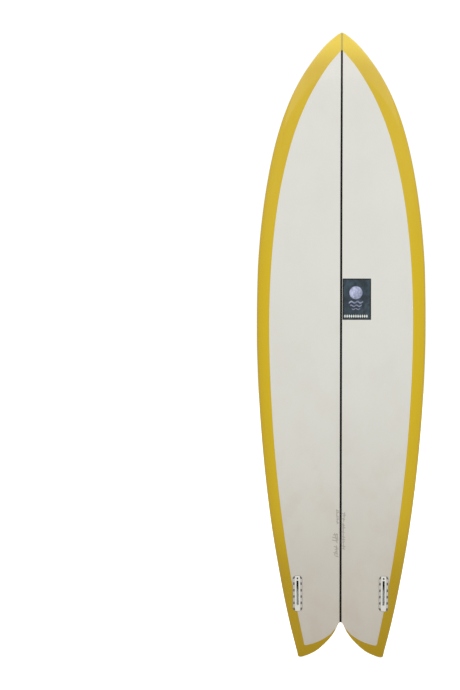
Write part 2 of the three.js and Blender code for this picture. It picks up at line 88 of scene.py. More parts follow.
def pchip(table, key=lambda z: z):
    p = sorted([(float(key(np.float64(z))), float(v)) for z, v in table])
    x, y = np.array([a for a, _ in p]), np.array([b for _, b in p])
    h, s = np.diff(x), np.diff(y) / np.diff(x)
    m = np.zeros(len(x))
    for i in range(1, len(x) - 1):
        if s[i - 1] * s[i] > 0:
            a, b = 2 * h[i] + h[i - 1], h[i] + 2 * h[i - 1]
            m[i] = (a + b) / (a / s[i - 1] + b / s[i])
    m[0], m[-1] = s[0], s[-1]

    def f(z):
        k = np.clip(key(np.asarray(z, float)), x[0], x[-1])
        i = np.clip(np.searchsorted(x, k, side="right") - 1, 0, len(x) - 2)
        t = (k - x[i]) / h[i]
        t2, t3 = t * t, t * t * t
        return (y[i] * (2 * t3 - 3 * t2 + 1) + m[i] * h[i] * (t3 - 2 * t2 + t)
                + y[i + 1] * (3 * t2 - 2 * t3) + m[i + 1] * h[i] * (t3 - t2))
    return f


def from_nose(z):
    return -np.sqrt(np.maximum(L - z, 0))


half_width = pchip(OUTLINE, from_nose)
thickness = pchip(THICKNESS, from_nose)
apex_share = pchip(APEX)
tuck = pchip(TUCK, from_nose)
deck_power = pchip(DECK_POWER)


def rocker(z):
    z = np.asarray(z, float)
    return np.where(z < WIDE_POINT,
                    TAIL_ROCKER * (np.maximum(WIDE_POINT - z, 0) / WIDE_POINT) ** 2.2,
                    NOSE_ROCKER * (np.maximum(z - WIDE_POINT, 0) / (L - WIDE_POINT)) ** 2.4)


# the skin's section at station z: t from 0 (bottom centre) through 1 (end of the flat), 2 (rail apex) to 3 (deck centre)
def section(z, t, d=0.0):
    z, t = np.broadcast_arrays(np.asarray(z, float), np.asarray(t, float))
    slope = half_width(z + 0.5) - half_width(z - 0.5)
    w = np.maximum(half_width(z) - d * np.sqrt(1 + np.minimum(slope * slope, 9)), 1e-6)
    a = np.maximum(thickness(z) * apex_share(z) - d, 1e-6)
    up = np.maximum(thickness(z) * (1 - apex_share(z)) - d, 1e-6)
    y0 = rocker(z) + d
    p = deck_power(z)
    flat = np.maximum(w - np.minimum(tuck(z), 0.9 * w), 0)
    x = flat * np.clip(t, 0, 1)
    y = y0.copy()
    f = np.clip(t - 1, 0, 1) * math.pi / 2
    x = np.where(t > 1, flat + (w - flat) * np.sin(f), x)
    y = np.where(t > 1, y0 + a * (1 - np.cos(f)), y)
    g = np.clip(3 - t, 0, 1) * math.pi / 2
    x = np.where(t > 2, w * np.sin(g) ** (2 / p), x)
    y = np.where(t > 2, y0 + a + up * np.cos(g), y)
    return x, y


def t_at_bottom_x(z, xv):          # the section parameter of a line at a fixed distance from the centre
    slope_flat = np.maximum(half_width(z) - np.minimum(tuck(z), 0.9 * half_width(z)), 1e-6)
    return np.minimum(xv / slope_flat, 0.5)


def t_at_deck_x(z, xv):
    q = np.minimum(xv / np.maximum(half_width(z), 1e-6), 0.3)
    return 3 - np.arcsin(q ** (deck_power(z) / 2)) / (math.pi / 2)


def bottom_y(x, z):
    w = np.maximum(half_width(z), 1e-6)
    flat = np.maximum(w - np.minimum(tuck(z), 0.9 * w), 0)
    s = np.clip((np.abs(x) - flat) / np.maximum(w - flat, 1e-6), 0, 1)
    return rocker(z) + thickness(z) * apex_share(z) * (1 - np.sqrt(1 - s * s))


def deck_y(x, z):
    T = thickness(z)
    a = T * apex_share(z)
    q = np.minimum(np.abs(x) / np.maximum(half_width(z), 1e-6), 1)
    return rocker(z) + a + (T - a) * np.sqrt(1 - q ** deck_power(z))


# outward normals of the skin at points near it, and how far off it they are
def skin_normals(P):
    x, y, z = P[:, 0], P[:, 1], P[:, 2]
    zc = np.clip(z, -11.9, L - 0.02)
    w = np.maximum(half_width(zc), 1e-3)
    T = thickness(zc)
    a = np.maximum(T * apex_share(zc), 1e-3)
    y0 = rocker(zc)
    flat = np.maximum(w - np.minimum(tuck(zc), 0.9 * w), 0)
    ax = np.abs(x)
    on_deck = y > y0 + a
    s = np.clip((ax - flat) / np.maximum(w - flat, 1e-6), 0, 1)
    f = np.arctan2(s, np.clip(1 - (y - y0) / a, 0, 1))
    t_low = np.where(ax > flat, 1 + f / (math.pi / 2), ax / np.maximum(flat, 1e-6))
    g = np.arctan2(np.clip(ax / w, 0, 1) ** (deck_power(zc) / 2), np.clip((y - y0 - a) / np.maximum(T - a, 1e-3), 0, 1))
    t_high = 3 - g / (math.pi / 2)
    t = np.where(on_deck, t_high, t_low)
    e, ez = 1e-3, 0.25
    lo, hi = np.clip(t - e, 0, 3), np.clip(t + e, 0, 3)
    # stay on one side of each section break so that the derivative is that side's own
    lo = np.where((t >= 1) & (lo < 1), 1.0, np.where((t >= 2) & (lo < 2), 2.0, lo))
    hi = np.where((t < 1) & (hi > 1), 1.0, np.where((t < 2) & (hi > 2), 2.0, hi))
    hi = np.where(hi <= lo, np.minimum(lo + e, 3), hi)
    xa, ya = section(zc, lo)
    xb, yb = section(zc, hi)
    z1, z2 = zc - np.minimum(ez, (L - zc) * 0.4), zc + np.minimum(ez, (L - zc) * 0.4)
    xc, yc = section(z1, t)
    xd, yd = section(z2, t)
    u = np.stack([xb - xa, yb - ya, np.zeros_like(xa)], 1)
    v = np.stack([xd - xc, yd - yc, z2 - z1], 1)
    n = np.cross(u, v)
    n /= np.maximum(np.linalg.norm(n, axis=1, keepdims=True), 1e-12)
    n[:, 0] *= np.where(x < 0, -1, 1)
    centre = ax < 1e-3
    n[centre, 0] = 0
    n /= np.maximum(np.linalg.norm(n, axis=1, keepdims=True), 1e-12)
    xs, ys = section(zc, t)
    off = np.hypot(ax - xs, y - ys)
    return n, off


# ------------------------------------------------------------------ mesh helpers
def new_object(name, verts, faces):
    me = bpy.data.meshes.new(name)
    me.from_pydata([tuple(v) for v in verts], [], [tuple(f) for f in faces])
    me.validate()
    ob = bpy.data.objects.new(name, me)
    scene.collection.objects.link(ob)
    return ob


def applied(ob):
    """ob with its modifiers applied, as the same object."""
    dg = bpy.context.evaluated_depsgraph_get()
    me = bpy.data.meshes.new_from_object(ob.evaluated_get(dg))
    ob.modifiers.clear()
    ob.data = me
    return ob


def boolean(ob, other, operation, keep=False):
    m = ob.modifiers.new("b", "BOOLEAN")
    m.operation, m.solver, m.object = operation, "MANIFOLD", other
    bpy.context.view_layer.update()
    applied(ob)
    if not keep:
        bpy.data.objects.remove(other)
    return ob


def duplicate(ob, name):
    o = bpy.data.objects.new(name, ob.data.copy())
    scene.collection.objects.link(o)
    return o


def prism_xz(name, points, y0, y1):
    """points (x, z) walked either way, in mm, from height y0 to y1."""
    pts = [(p[0] / 1000, p[1] / 1000) for p in points]
    area = sum(a[0] * b[1] - b[0] * a[1] for a, b in zip(pts, pts[1:] + pts[:1]))
    if area < 0:
        pts.reverse()
    n = len(pts)
    verts = [(x, y0 / 1000, z) for x, z in pts] + [(x, y1 / 1000, z) for x, z in pts]
    faces = [tuple(range(n)), tuple(range(2 * n - 1, n - 1, -1))]
    faces += [(i, i + n, (i + 1) % n + n, (i + 1) % n) for i in range(n)]
    return new_object(name, verts, faces)


def offset(points, d):
    out = []
    n = len(points)
    for i, p in enumerate(points):
        e = []
        for u, v in ((points[max(i - 1, 0)], p), (p, points[min(i + 1, n - 1)])):
            l = math.hypot(v[0] - u[0], v[1] - u[1])
            if l > 1e-9:
                e.append(((v[1] - u[1]) / l, -(v[0] - u[0]) / l))
        m = (e[0][0] + e[-1][0], e[0][1] + e[-1][1])
        k = 2 / (m[0] ** 2 + m[1] ** 2)
        out.append([p[0] + d * m[0] * k, p[1] + d * m[1] * k])
    return out


def smooth_line(points, step):
    """A Catmull-Rom line through the points, sampled about every step."""
    P = np.array(points, float)
    P = np.vstack([2 * P[0] - P[1], P, 2 * P[-1] - P[-2]])
    out = []
    for i in range(1, len(P) - 2):
        p0, p1, p2, p3 = P[i - 1], P[i], P[i + 1], P[i + 2]
        k = [0.0]
        for a, b in ((p0, p1), (p1, p2), (p2, p3)):
            k.append(k[-1] + max(np.linalg.norm(b - a), 1e-9) ** 0.5)
        n = max(2, int(math.ceil(np.linalg.norm(p2 - p1) / step)))
        for j in range(n):
            t = k[1] + (k[2] - k[1]) * j / n
            a1 = (k[1] - t) / (k[1] - k[0]) * p0 + (t - k[0]) / (k[1] - k[0]) * p1
            a2 = (k[2] - t) / (k[2] - k[1]) * p1 + (t - k[1]) / (k[2] - k[1]) * p2
            a3 = (k[3] - t) / (k[3] - k[2]) * p2 + (t - k[2]) / (k[3] - k[2]) * p3
            b1 = (k[2] - t) / (k[2] - k[0]) * a1 + (t - k[0]) / (k[2] - k[0]) * a2
            b2 = (k[3] - t) / (k[3] - k[1]) * a2 + (t - k[1]) / (k[3] - k[1]) * a3
            out.append(list((k[2] - t) / (k[2] - k[1]) * b1 + (t - k[1]) / (k[2] - k[1]) * b2))
    out.append(list(P[-2]))
    return out


def mirrored(half):
    return list(half) + [[-x, z] for x, z in half[1:][::-1]]


# the tail line, crotch to corner, as a smooth curve
tail_line = smooth_line(TAIL_CUT, 1.6)
tail_line[0] = [0.0, 122.2]


def tail_half(d):
    line = offset([[-tail_line[1][0], tail_line[1][1]]] + tail_line, -d)[1:]
    line[0][0] = 0.0
    return line


def tail_frame():
    """Along the tail line: the direction out of the board, and the radius that the deck edge is rolled over with."""
    P = np.array([[-tail_line[1][0], tail_line[1][1]]] + tail_line + [tail_line[-1]])
    T = P[2:] - P[:-2]
    T /= np.linalg.norm(T, axis=1)[:, None]
    T[0] = (1, 0)
    out = np.stack([T[:, 1], -T[:, 0]], 1)
    line = np.array(tail_line)
    ds = np.linalg.norm(np.diff(line, axis=0), axis=1)
    turn = T[:-1, 0] * T[1:, 1] - T[:-1, 1] * T[1:, 0]
    bend = np.convolve(np.pad(turn / ds, 3, mode="edge"), np.ones(7) / 7, "valid")
    bend = np.append(bend, bend[-1])
    tight = np.where(bend > 1e-4, 0.8 / np.maximum(bend, 1e-4), 1e3)
    inside = line - 3.0 * out
    thick = deck_y(inside[:, 0], inside[:, 1]) - bottom_y(inside[:, 0], inside[:, 1])
    R = np.minimum(np.minimum(13.5, 0.78 * thick), tight)
    k = 5
    wide = np.pad(R, k, mode="edge")
    R = np.min([wide[i:i + len(R)] for i in range(2 * k + 1)], axis=0)
    R = np.convolve(np.pad(R, k, mode="edge"), np.ones(2 * k + 1) / (2 * k + 1), "valid")
    return out, np.maximum(R, 0.2)


tail_out, tail_roll = tail_frame()


def tail_cutter(name, d, rolled=False):
    """Everything below the tail line, moved into the board by d. Rolled, it leaves a rounded deck edge, tangent to the
    deck, and a small round on the bottom edge."""
    base = np.array(tail_half(d))
    m = len(base)
    rows = []

    def row(off, height):
        line = base - np.reshape(off, (-1, 1)) * tail_out
        line[0, 0] = 0.0
        hs = list(height(line) if callable(height) else np.full(m, height))
        last = line[-1]
        half = [list(p) for p in line] + [[last[0] + 30, last[1] + 4], [last[0] + 30, -60]]
        hs = hs + [hs[-1], hs[-1]]
        full, fh = mirrored(half), hs + hs[1:][::-1]
        rows.append([(x / 1000, h / 1000, z / 1000) for (x, z), h in zip(full, fh)])

    if rolled:
        R = np.maximum(tail_roll - d, 0.15)
        r = np.full(m, max(1.0 - d, 0.15)) * np.minimum(1.0, tail_roll / 1.5)
        top = lambda p: deck_y(p[:, 0], p[:, 1]) - d
        low = lambda p: bottom_y(p[:, 0], p[:, 1]) + d
        f = math.radians(82)
        row(r * (1 - math.cos(f)), -80.0)
        for deg in (82, 60, 40, 20, 0):
            f = math.radians(deg)
            row(r * (1 - math.cos(f)), lambda p: low(p) + r * (1 - math.sin(f)))
        for deg in (0, 12, 24, 36, 47, 57, 66, 74, 81, 86):
            f = math.radians(deg)
            row(R * (1 - math.cos(f)), lambda p: top(p) - R * (1 - math.sin(f)))
        f = math.radians(86)
        row(R * (1 - math.cos(f)), lambda p: top(p) + 12.0)
    else:
        row(np.zeros(m), -80.0)
        row(np.zeros(m), 260.0)
    k = len(rows[0])
    verts = [v for r in rows for v in r]
    faces = []
    for i in range(len(rows) - 1):
        for j in range(k):
            a, b = i * k + j, i * k + (j + 1) % k
            faces.append((a, b, b + k, a + k))
    faces.append(tuple(range(k - 1, -1, -1)))
    faces.append(tuple(range((len(rows) - 1) * k, len(rows) * k)))
    return new_object(name, verts, faces)


# ------------------------------------------------------------------ the shaped blank
def blank(name, d=0.0, fine=True):
    if fine:
        zs = np.concatenate([np.arange(-12, 140, 3.5), np.arange(140, 1883, 11), L - np.linspace(14.14, 0.4, 62) ** 2])
        low, high = 12, 15
        deck = 30
    else:
        zs = np.concatenate([np.arange(-12, 140, 8), np.arange(140, 1883, 24), L - np.linspace(14.14, 0.8, 34) ** 2])
        low, high, deck = 4, 8, 16
    if d:
        zs = zs[(half_width(zs) > 3 * d) & (thickness(zs) > 4 * d)]
    tb = t_at_bottom_x(zs, 3.475)
    td = t_at_deck_x(zs, 2.5)
    td2 = t_at_deck_x(zs, 12.0)
    cols = [np.zeros(len(zs)), tb]
    for i in range(1, low + 1):
        cols.append(tb + (1 - tb) * i / low)
    for i in range(1, high + 1):
        cols.append(np.full(len(zs), 1 + i / high))
    start = 2.0
    for i in range(1, deck + 1):
        cols.append(2 + (td2 - 2) * (i / deck))
    cols.append(td)
    cols.append(np.full(len(zs), 3.0))
    t = np.stack(cols, 1)
    x, y = section(zs[:, None], t, d)
    rings = []
    m = t.shape[1]
    n = 2 * m - 2
    verts = []
    for i, z in enumerate(zs):
        ring = [(x[i, j], y[i, j], z) for j in range(m)] + [(-x[i, j], y[i, j], z) for j in range(m - 2, 0, -1)]
        verts += ring
    faces = []
    for i in range(len(zs) - 1):
        for j in range(n):
            a, b = i * n + j, i * n + (j + 1) % n
            faces.append((a, b, b + n, a + n))
    faces.append(tuple(range(n - 1, -1, -1)))
    tip_z = L - 1.6 * d
    verts.append((0, float(rocker(tip_z) + thickness(tip_z) * apex_share(tip_z)) if d == 0 else float(rocker(zs[-1]) + thickness(zs[-1]) * apex_share(zs[-1])), tip_z if d == 0 else zs[-1] + 0.8))
    last = (len(zs) - 1) * n
    for j in range(n):
        faces.append((last + j, last + (j + 1) % n, len(verts) - 1))
    return new_object(name, [(a / 1000, b / 1000, c / 1000) for a, b, c in verts], faces)


def below_bottom(name, h):
    """Everything lower than the bottom's centre line moved in by h, across the board."""
    zs = np.concatenate([[-60], np.arange(-12, L, 11), [L, L + 40]])
    hs = np.where(zs < L + 1, rocker(np.minimum(zs, L)) + h, NOSE_ROCKER + h + 12)
    pts = [(z, y) for z, y in zip(zs, hs)]
    n = len(pts)
    verts = []
    for xx in (-330, 330):
        verts += [(xx / 1000, y / 1000, z / 1000) for z, y in pts]
        verts += [(xx / 1000, -0.08, z / 1000) for z, y in pts]
    faces = []
    k = 2 * n
    for i in range(n - 1):
        faces.append((i, i + 1, k + i + 1, k + i))
        faces.append((n + i + 1, n + i, k + n + i, k + n + i + 1))
        faces.append((i + 1, i, n + i, n + i + 1))
        faces.append((k + i, k + i + 1, k + n + i + 1, k + n + i))
    faces.append((0, k, k + n, n))
    faces.append((k + n - 1, n - 1, 2 * n - 1, k + 2 * n - 1))
    return new_object(name, verts, faces)


def box_matrix(side):
    slope = float(rocker(BOX_Z + 1) - rocker(BOX_Z - 1)) / 2
    turn = math.pi / 2 + math.atan(-slope)
    return Matrix.Translation((side * BOX_X / 1000, float(rocker(BOX_Z)) / 1000, BOX_Z / 1000)) @ Matrix.Rotation(turn, 4, "X")


def rounded(y0, y1, hw, r, seg=10):
    """Outline of a rounded rectangle, anticlockwise, mm."""
    r = min(r, hw - 1e-4)
    pts = []
    for cx, cy, a0 in ((hw - r, y1 - r, 0), (-hw + r, y1 - r, 90), (-hw + r, y0 + r, 180), (hw - r, y0 + r, 270)):
        for i in range(seg + 1):
            f = math.radians(a0 + 90 * i / seg)
            pts.append((cx + r * math.cos(f), cy + r * math.sin(f)))
    return pts


def stack(name, layers, matrix=None):
    """A closed solid through outlines [(points, z), ...] with equal point counts, bottom first, anticlockwise seen from above, mm."""
    n = len(layers[0][0])
    verts = [(x / 1000, y / 1000, z / 1000) for pts, z in layers for x, y in pts]
    faces = [tuple(range(n - 1, -1, -1)), tuple(range((len(layers) - 1) * n, len(layers) * n))]
    for i in range(len(layers) - 1):
        for j in range(n):
            a, b = i * n + j, i * n + (j + 1) % n
            faces.append((a, b, b + n, a + n))
    ob = new_object(name, verts, faces)
    if matrix is not None:
        ob.data.transform(matrix)
    return ob


def lathe(name, profile, seg=96, matrix=None):
    """A closed solid of revolution about local Y from (r, y) points in mm, first and last on the axis."""
    verts, faces, rows = [], [], []
    for r, y in profile:
        if r < 1e-9:
            rows.append([len(verts)])
            verts.append((0, y / 1000, 0))
        else:
            rows.append(list(range(len(verts), len(verts) + seg)))
            verts += [(r * math.sin(2 * math.pi * i / seg) / 1000, y / 1000, r * math.cos(2 * math.pi * i / seg) / 1000)
                      for i in range(seg)]
    for a, b in zip(rows, rows[1:]):
        for i in range(seg):
            j = (i + 1) % seg
            if len(a) == 1:
                faces.append((a[0], b[j], b[i]))
            elif len(b) == 1:
                faces.append((a[i], a[j], b[0]))
            else:
                faces.append((a[i], a[j], b[j], b[i]))
    ob = new_object(name, verts, faces)
    if matrix is not None:
        ob.data.transform(matrix)
    return ob


def tube(name, a, b, r, seg=48):
    """A round bar from a to b, mm, with softened ends."""
    a, b = Vector(a), Vector(b)
    d = (b - a)
    q = d.normalized().to_track_quat("Y", "Z").to_matrix().to_4x4()
    m = Matrix.Translation(a / 1000) @ q
    l = d.length
    c = min(0.3, r * 0.2)
    return lathe(name, [(0, 0), (r - c, 0), (r, c), (r, l - c), (r - c, l), (0, l)], seg, m)


def orient(ob):
    """Turns the faces outwards."""
    import bmesh
    bm = bmesh.new()
    bm.from_mesh(ob.data)
    bmesh.ops.recalc_face_normals(bm, faces=bm.faces)
    bm.to_mesh(ob.data)
    bm.free()
    return ob


def arrays(me):
    nv, nf, nl = len(me.vertices), len(me.polygons), len(me.loops)
    P = np.empty(nv * 3)
    me.vertices.foreach_get("co", P)
    fn = np.empty(nf * 3)
    me.polygons.foreach_get("normal", fn)
    fc = np.empty(nf * 3)
    me.polygons.foreach_get("center", fc)
    ar = np.empty(nf)
    me.polygons.foreach_get("area", ar)
    lv = np.empty(nl, np.int32)
    me.loops.foreach_get("vertex_index", lv)
    ls = np.empty(nf, np.int32)
    me.polygons.foreach_get("loop_start", ls)
    lt = np.empty(nf, np.int32)
    me.polygons.foreach_get("loop_total", lt)
    return (P.reshape(-1, 3) * 1000, fn.reshape(-1, 3), fc.reshape(-1, 3) * 1000, ar, lv, ls,
            np.repeat(np.arange(nf), lt))


def shade(ob, crease=38, skin=False):
    """Smooth shading with creases. On the board's own surface the normals are those of the shape itself."""
    me = ob.data
    P, fn, fc, area, lv, ls, lf = arrays(me)
    on_skin = np.zeros(len(fn), bool)
    ln = fn[lf].copy()
    if skin:
        n, off = skin_normals(P)
        ok = np.minimum.reduceat((off[lv] < 0.15).astype(float), ls) > 0.5
        dots = np.add.reduceat(np.sum(n[lv] * fn[lf], 1), ls) / np.bincount(lf)
        on_skin = ok & (dots > 0.9)
        sel = on_skin[lf]
        ln[sel] = n[lv][sel]
    limit = math.cos(math.radians(crease))
    around = {}
    for l in np.nonzero(~on_skin[lf])[0]:
        around.setdefault(int(lv[l]), []).append(int(l))
    for loops in around.values():
        fs = lf[loops]
        N = fn[fs]
        W = N * area[fs][:, None]
        M = (N @ N.T) > limit
        S = M @ W
        S /= np.maximum(np.linalg.norm(S, axis=1, keepdims=True), 1e-20)
        ln[loops] = S
    bad = np.linalg.norm(ln, axis=1) < 0.5
    ln[bad] = fn[lf][bad]
    me.shade_smooth()
    me.normals_split_custom_set([tuple(v) for v in ln])
    return on_skin, P, fn, fc


# ------------------------------------------------------------------ materials
class Nodes:
    def __init__(self, name):
        self.m = bpy.data.materials.new(name)
        self.m.use_nodes = True
        self.t = self.m.node_tree
        self.t.nodes.clear()
        self.out = self.t.nodes.new("ShaderNodeOutputMaterial")
        self.b = self.t.nodes.new("ShaderNodeBsdfPrincipled")
        self.t.links.new(self.b.outputs[0], self.out.inputs["Surface"])
        self.co = self.t.nodes.new("ShaderNodeTexCoord").outputs["Object"]
        self._xyz = None

    def node(self, kind, **kw):
        n = self.t.nodes.new(kind)
        for k, v in kw.items():
            setattr(n, k, v)
        return n

    def put(self, socket, v):
        if isinstance(v, bpy.types.NodeSocket):
            self.t.links.new(v, socket)
        else:
            socket.default_value = v

    def set(self, **kw):
        for k, v in kw.items():
            self.put(self.b.inputs[k.replace("_", " ")], v)

    def math(self, op, a, b=0.0, c=0.0, clamp=False):
        n = self.node("ShaderNodeMath", operation=op, use_clamp=clamp)
        self.put(n.inputs[0], a)
        if len(n.inputs) > 1:
            self.put(n.inputs[1], b)
        if len(n.inputs) > 2:
            self.put(n.inputs[2], c)
        return n.outputs[0]

    def vec(self, op, a, b=(0, 0, 0), s=None):
        n = self.node("ShaderNodeVectorMath", operation=op)
        self.put(n.inputs[0], a)
        if op != "SCALE":
            self.put(n.inputs[1], b)
        if s is not None:
            self.put(n.inputs["Scale"], s)
        return n.outputs["Value"] if op in ("DOT_PRODUCT", "DISTANCE", "LENGTH") else n.outputs["Vector"]

    @property
    def xyz(self):
        if self._xyz is None:
            n = self.node("ShaderNodeSeparateXYZ")
            self.put(n.inputs[0], self.co)
            self._xyz = n.outputs
        return self._xyz

    def scaled(self, s, at=(0, 0, 0)):
        n = self.node("ShaderNodeMapping")
        self.put(n.inputs["Vector"], self.co)
        n.inputs["Scale"].default_value = s
        n.inputs["Location"].default_value = at
        return n.outputs[0]

    def noise(self, scale, detail=3.0, rough=0.55, vector=None, distort=0.0):
        n = self.node("ShaderNodeTexNoise")
        self.put(n.inputs["Vector"], vector if vector is not None else self.co)
        n.inputs["Scale"].default_value = scale
        n.inputs["Detail"].default_value = detail
        n.inputs["Roughness"].default_value = rough
        n.inputs["Distortion"].default_value = distort
        return n.outputs["Fac"]

    def step(self, v, a, b, lo=0.0, hi=1.0):
        """Smoothly from lo where v is a to hi where v is b."""
        n = self.node("ShaderNodeMapRange", interpolation_type="SMOOTHSTEP", clamp=True)
        self.put(n.inputs["Value"], v)
        for k, x in (("From Min", a), ("From Max", b), ("To Min", lo), ("To Max", hi)):
            n.inputs[k].default_value = x
        return n.outputs[0]

    def ramp(self, v, *stops):
        n = self.node("ShaderNodeValToRGB")
        self.put(n.inputs[0], v)
        e = n.color_ramp.elements
        while len(e) < len(stops):
            e.new(0.5)
        for el, (p, c) in zip(e, stops):
            el.position, el.color = p, (*c, 1)
        return n.outputs[0]

    def mix(self, f, a, b, blend="MIX"):
        n = self.node("ShaderNodeMix", data_type="RGBA", blend_type=blend)
        self.put(n.inputs[0], f)
        self.put(n.inputs[6], (*a, 1) if isinstance(a, tuple) else a)
        self.put(n.inputs[7], (*b, 1) if isinstance(b, tuple) else b)
        return n.outputs[2]

    def bump(self, h, dist, strength=1.0):
        n = self.node("ShaderNodeBump")
        self.put(n.inputs["Height"], h)
        n.inputs["Distance"].default_value = dist
        n.inputs["Strength"].default_value = strength
        return n.outputs[0]


def lin(r, g, b):
    f = lambda c: (c / 12.92) if c <= 0.04045 else ((c + 0.055) / 1.055) ** 2.4
    return (f(r / 255), f(g / 255), f(b / 255))


def scale(c, k):
    return tuple(min(v * k, 1.0) for v in c)


def weave(n, pitch):
    """A plain cloth weave over the board's face."""
    k = 2 * math.pi / pitch
    a = n.math("SINE", n.math("MULTIPLY", n.xyz[0], k))
    b = n.math("SINE", n.math("MULTIPLY", n.xyz[2], k))
    return n.math("MULTIPLY", a, b)


YELLOW = (0.685, 0.484, 0.028)
WHITE = lin(227, 227, 223)


def tinted(name, base, line=None, rolled=False):
    n = Nodes(name)
    nv = n.node("ShaderNodeSeparateXYZ")
    n.put(nv.inputs[0], n.co.node.outputs["Normal"])
    cloud = n.noise(2.6, 4, 0.55, n.scaled((1.0, 1.0, 0.45)))
    streak = n.noise(9, 4, 0.6, n.scaled((3.0, 3.0, 0.25), (4.1, 0.7, 2.0)))
    speck = n.noise(900, 2, 0.6)
    c = n.ramp(cloud, (0.30, scale(base, 0.93)), (0.5, base), (0.72, scale((base[0] * 1.02, base[1] * 1.035, base[2] * 1.25), 1.0)))
    c = n.mix(n.math("MULTIPLY", n.step(streak, 0.42, 0.75), 0.35), c, scale((base[0], base[1] * 0.94, base[2] * 0.8), 0.94))
    c = n.mix(n.math("MULTIPLY", n.step(speck, 0.55, 0.75), 0.10), c, scale(base, 0.80))
    # painted highlight: the bottom face is painted lighter and paler over the nose; painted shade: towards the tail the
    # yellow is painted deeper, and darker still over the last half metre on both faces
    c = n.mix(n.math("MULTIPLY", n.step(n.xyz[2], 1.93, 2.06, 0.0, 0.9), n.step(nv.outputs[1], 0.0, 0.5, 1.0, 0.0)), c, (min(base[0] * 1.32, 1.0), base[1] * 1.41, base[2] * 2.2))
    c = n.mix(n.step(n.xyz[2], 1.15, 1.60, 0.8, 0.0), c, (base[0] * 1.03, base[1] * 1.01, base[2] * 0.30))
    c = n.mix(n.math("MULTIPLY", n.step(n.xyz[2], 0.24, 0.50, 1.0, 0.0), n.step(nv.outputs[1], 0.0, 0.5, 1.0, 0.0)), c, (0.83, 0.805, 0.62), "MULTIPLY")
    c = n.mix(n.math("MULTIPLY", n.step(n.xyz[2], 0.02, 0.50, 1.0, 0.0), n.step(nv.outputs[1], 0.0, 0.5, 0.0, 1.0)), c, (0.80, 0.77, 0.60), "MULTIPLY")
    # one coat over the white foam of the deck is brighter than the lap; painted shade darkens the deck where it turns
    # down over the rails
    up = n.step(nv.outputs[1], 0.0, 0.55)
    c = n.mix(up, c, (1.08, 1.12, 1.3), "MULTIPLY")
    over = n.math("MULTIPLY", n.step(n.math("ABSOLUTE", nv.outputs[0]), 0.14, 0.75), n.step(nv.outputs[1], -0.05, 0.30))
    c = n.mix(over, c, (0.74, 0.75, 0.72), "MULTIPLY")
    if rolled:
        # painted shade: the rolled edge of the notch is darkened where it faces down towards the tail
        c = n.mix(n.step(nv.outputs[2], -0.06, -0.62), c, (0.30, 0.24, 0.40), "MULTIPLY")
    if line is not None:
        # the wood line fades out towards the tail
        c = n.mix(n.step(n.xyz[2], 0.12, 0.22, 0.45, 1.0), c, line)
    n.set(Base_Color=c, Roughness=n.step(cloud, 0.3, 0.7, 0.30, 0.42), Coat_Weight=1.0, Coat_Roughness=0.09, Specular_IOR_Level=0.1,
          Normal=n.bump(n.math("ADD", weave(n, 0.0009), n.math("MULTIPLY", speck, 0.6)), 0.00002, 0.35))
    return n


def white_glass(name):
    n = Nodes(name)
    cloud = n.noise(3.2, 4, 0.55, n.scaled((1.0, 1.0, 0.6), (7.0, 1.0, 0.3)))
    tint = n.noise(1.7, 3, 0.5, n.scaled((1, 1, 0.7), (1.3, 5.2, 8.8)))
    speck = n.noise(750, 3, 0.6)
    c = n.ramp(cloud, (0.30, scale(WHITE, 0.965)), (0.5, WHITE), (0.72, scale(WHITE, 1.025)))
    c = n.mix(n.math("MULTIPLY", n.step(tint, 0.35, 0.7), 0.5), c, scale((WHITE[0] * 1.01, WHITE[1] * 0.985, WHITE[2] * 0.965), 1.0))
    blotch = n.noise(13, 4, 0.6, n.scaled((1.0, 1.0, 0.7), (2.2, 3.1, 5.4)))
    lower = n.step(n.xyz[2], 0.35, 1.25, 1.0, 0.25)
    c = n.mix(n.math("MULTIPLY", n.math("MULTIPLY", n.step(blotch, 0.42, 0.68), lower), 0.55), c, (WHITE[0] * 0.955, WHITE[1] * 0.90, WHITE[2] * 0.875))
    c = n.mix(n.math("MULTIPLY", n.step(speck, 0.58, 0.8), 0.12), c, scale(WHITE, 0.80))
    # painted shade: the white is painted darker and warmer towards the tail
    c = n.mix(n.step(n.xyz[2], 0.10, 0.80, 1.0, 0.0), c, (0.985, 0.965, 0.94), "MULTIPLY")
    # smudged pencil ticks next to the wood, too small and worn to read
    marks = None
    for x0, z0, x1, z1 in PENCIL:
        a, b = Vector((x0, 0, z0)) / 1000, Vector((x1, 0, z1)) / 1000
        d = b - a
        flat = n.vec("MULTIPLY", n.co, (1, 0, 1))
        rel = n.vec("SUBTRACT", flat, tuple(a))
        f = n.math("MULTIPLY", n.vec("DOT_PRODUCT", rel, tuple(d)), 1 / max(d.length_squared, 1e-12), clamp=True)
        near = n.vec("DISTANCE", rel, n.vec("SCALE", tuple(d), s=f))
        s = n.step(near, 0.0004, 0.0026, 1.0, 0.0)
        marks = s if marks is None else n.math("MAXIMUM", marks, s)
    grain = n.step(n.noise(1100, 2, 0.6), 0.30, 0.60, 0.35, 1.0)
    c = n.mix(n.math("MULTIPLY", marks, n.math("MULTIPLY", grain, 0.60)), c, lin(116, 110, 106))
    n.set(Base_Color=c, Roughness=n.step(cloud, 0.3, 0.7, 0.32, 0.44), Coat_Weight=1.0, Coat_Roughness=0.09, Specular_IOR_Level=0.1,
          Normal=n.bump(n.math("ADD", weave(n, 0.0009), n.math("MULTIPLY", speck, 0.6)), 0.00002, 0.35))
    return n


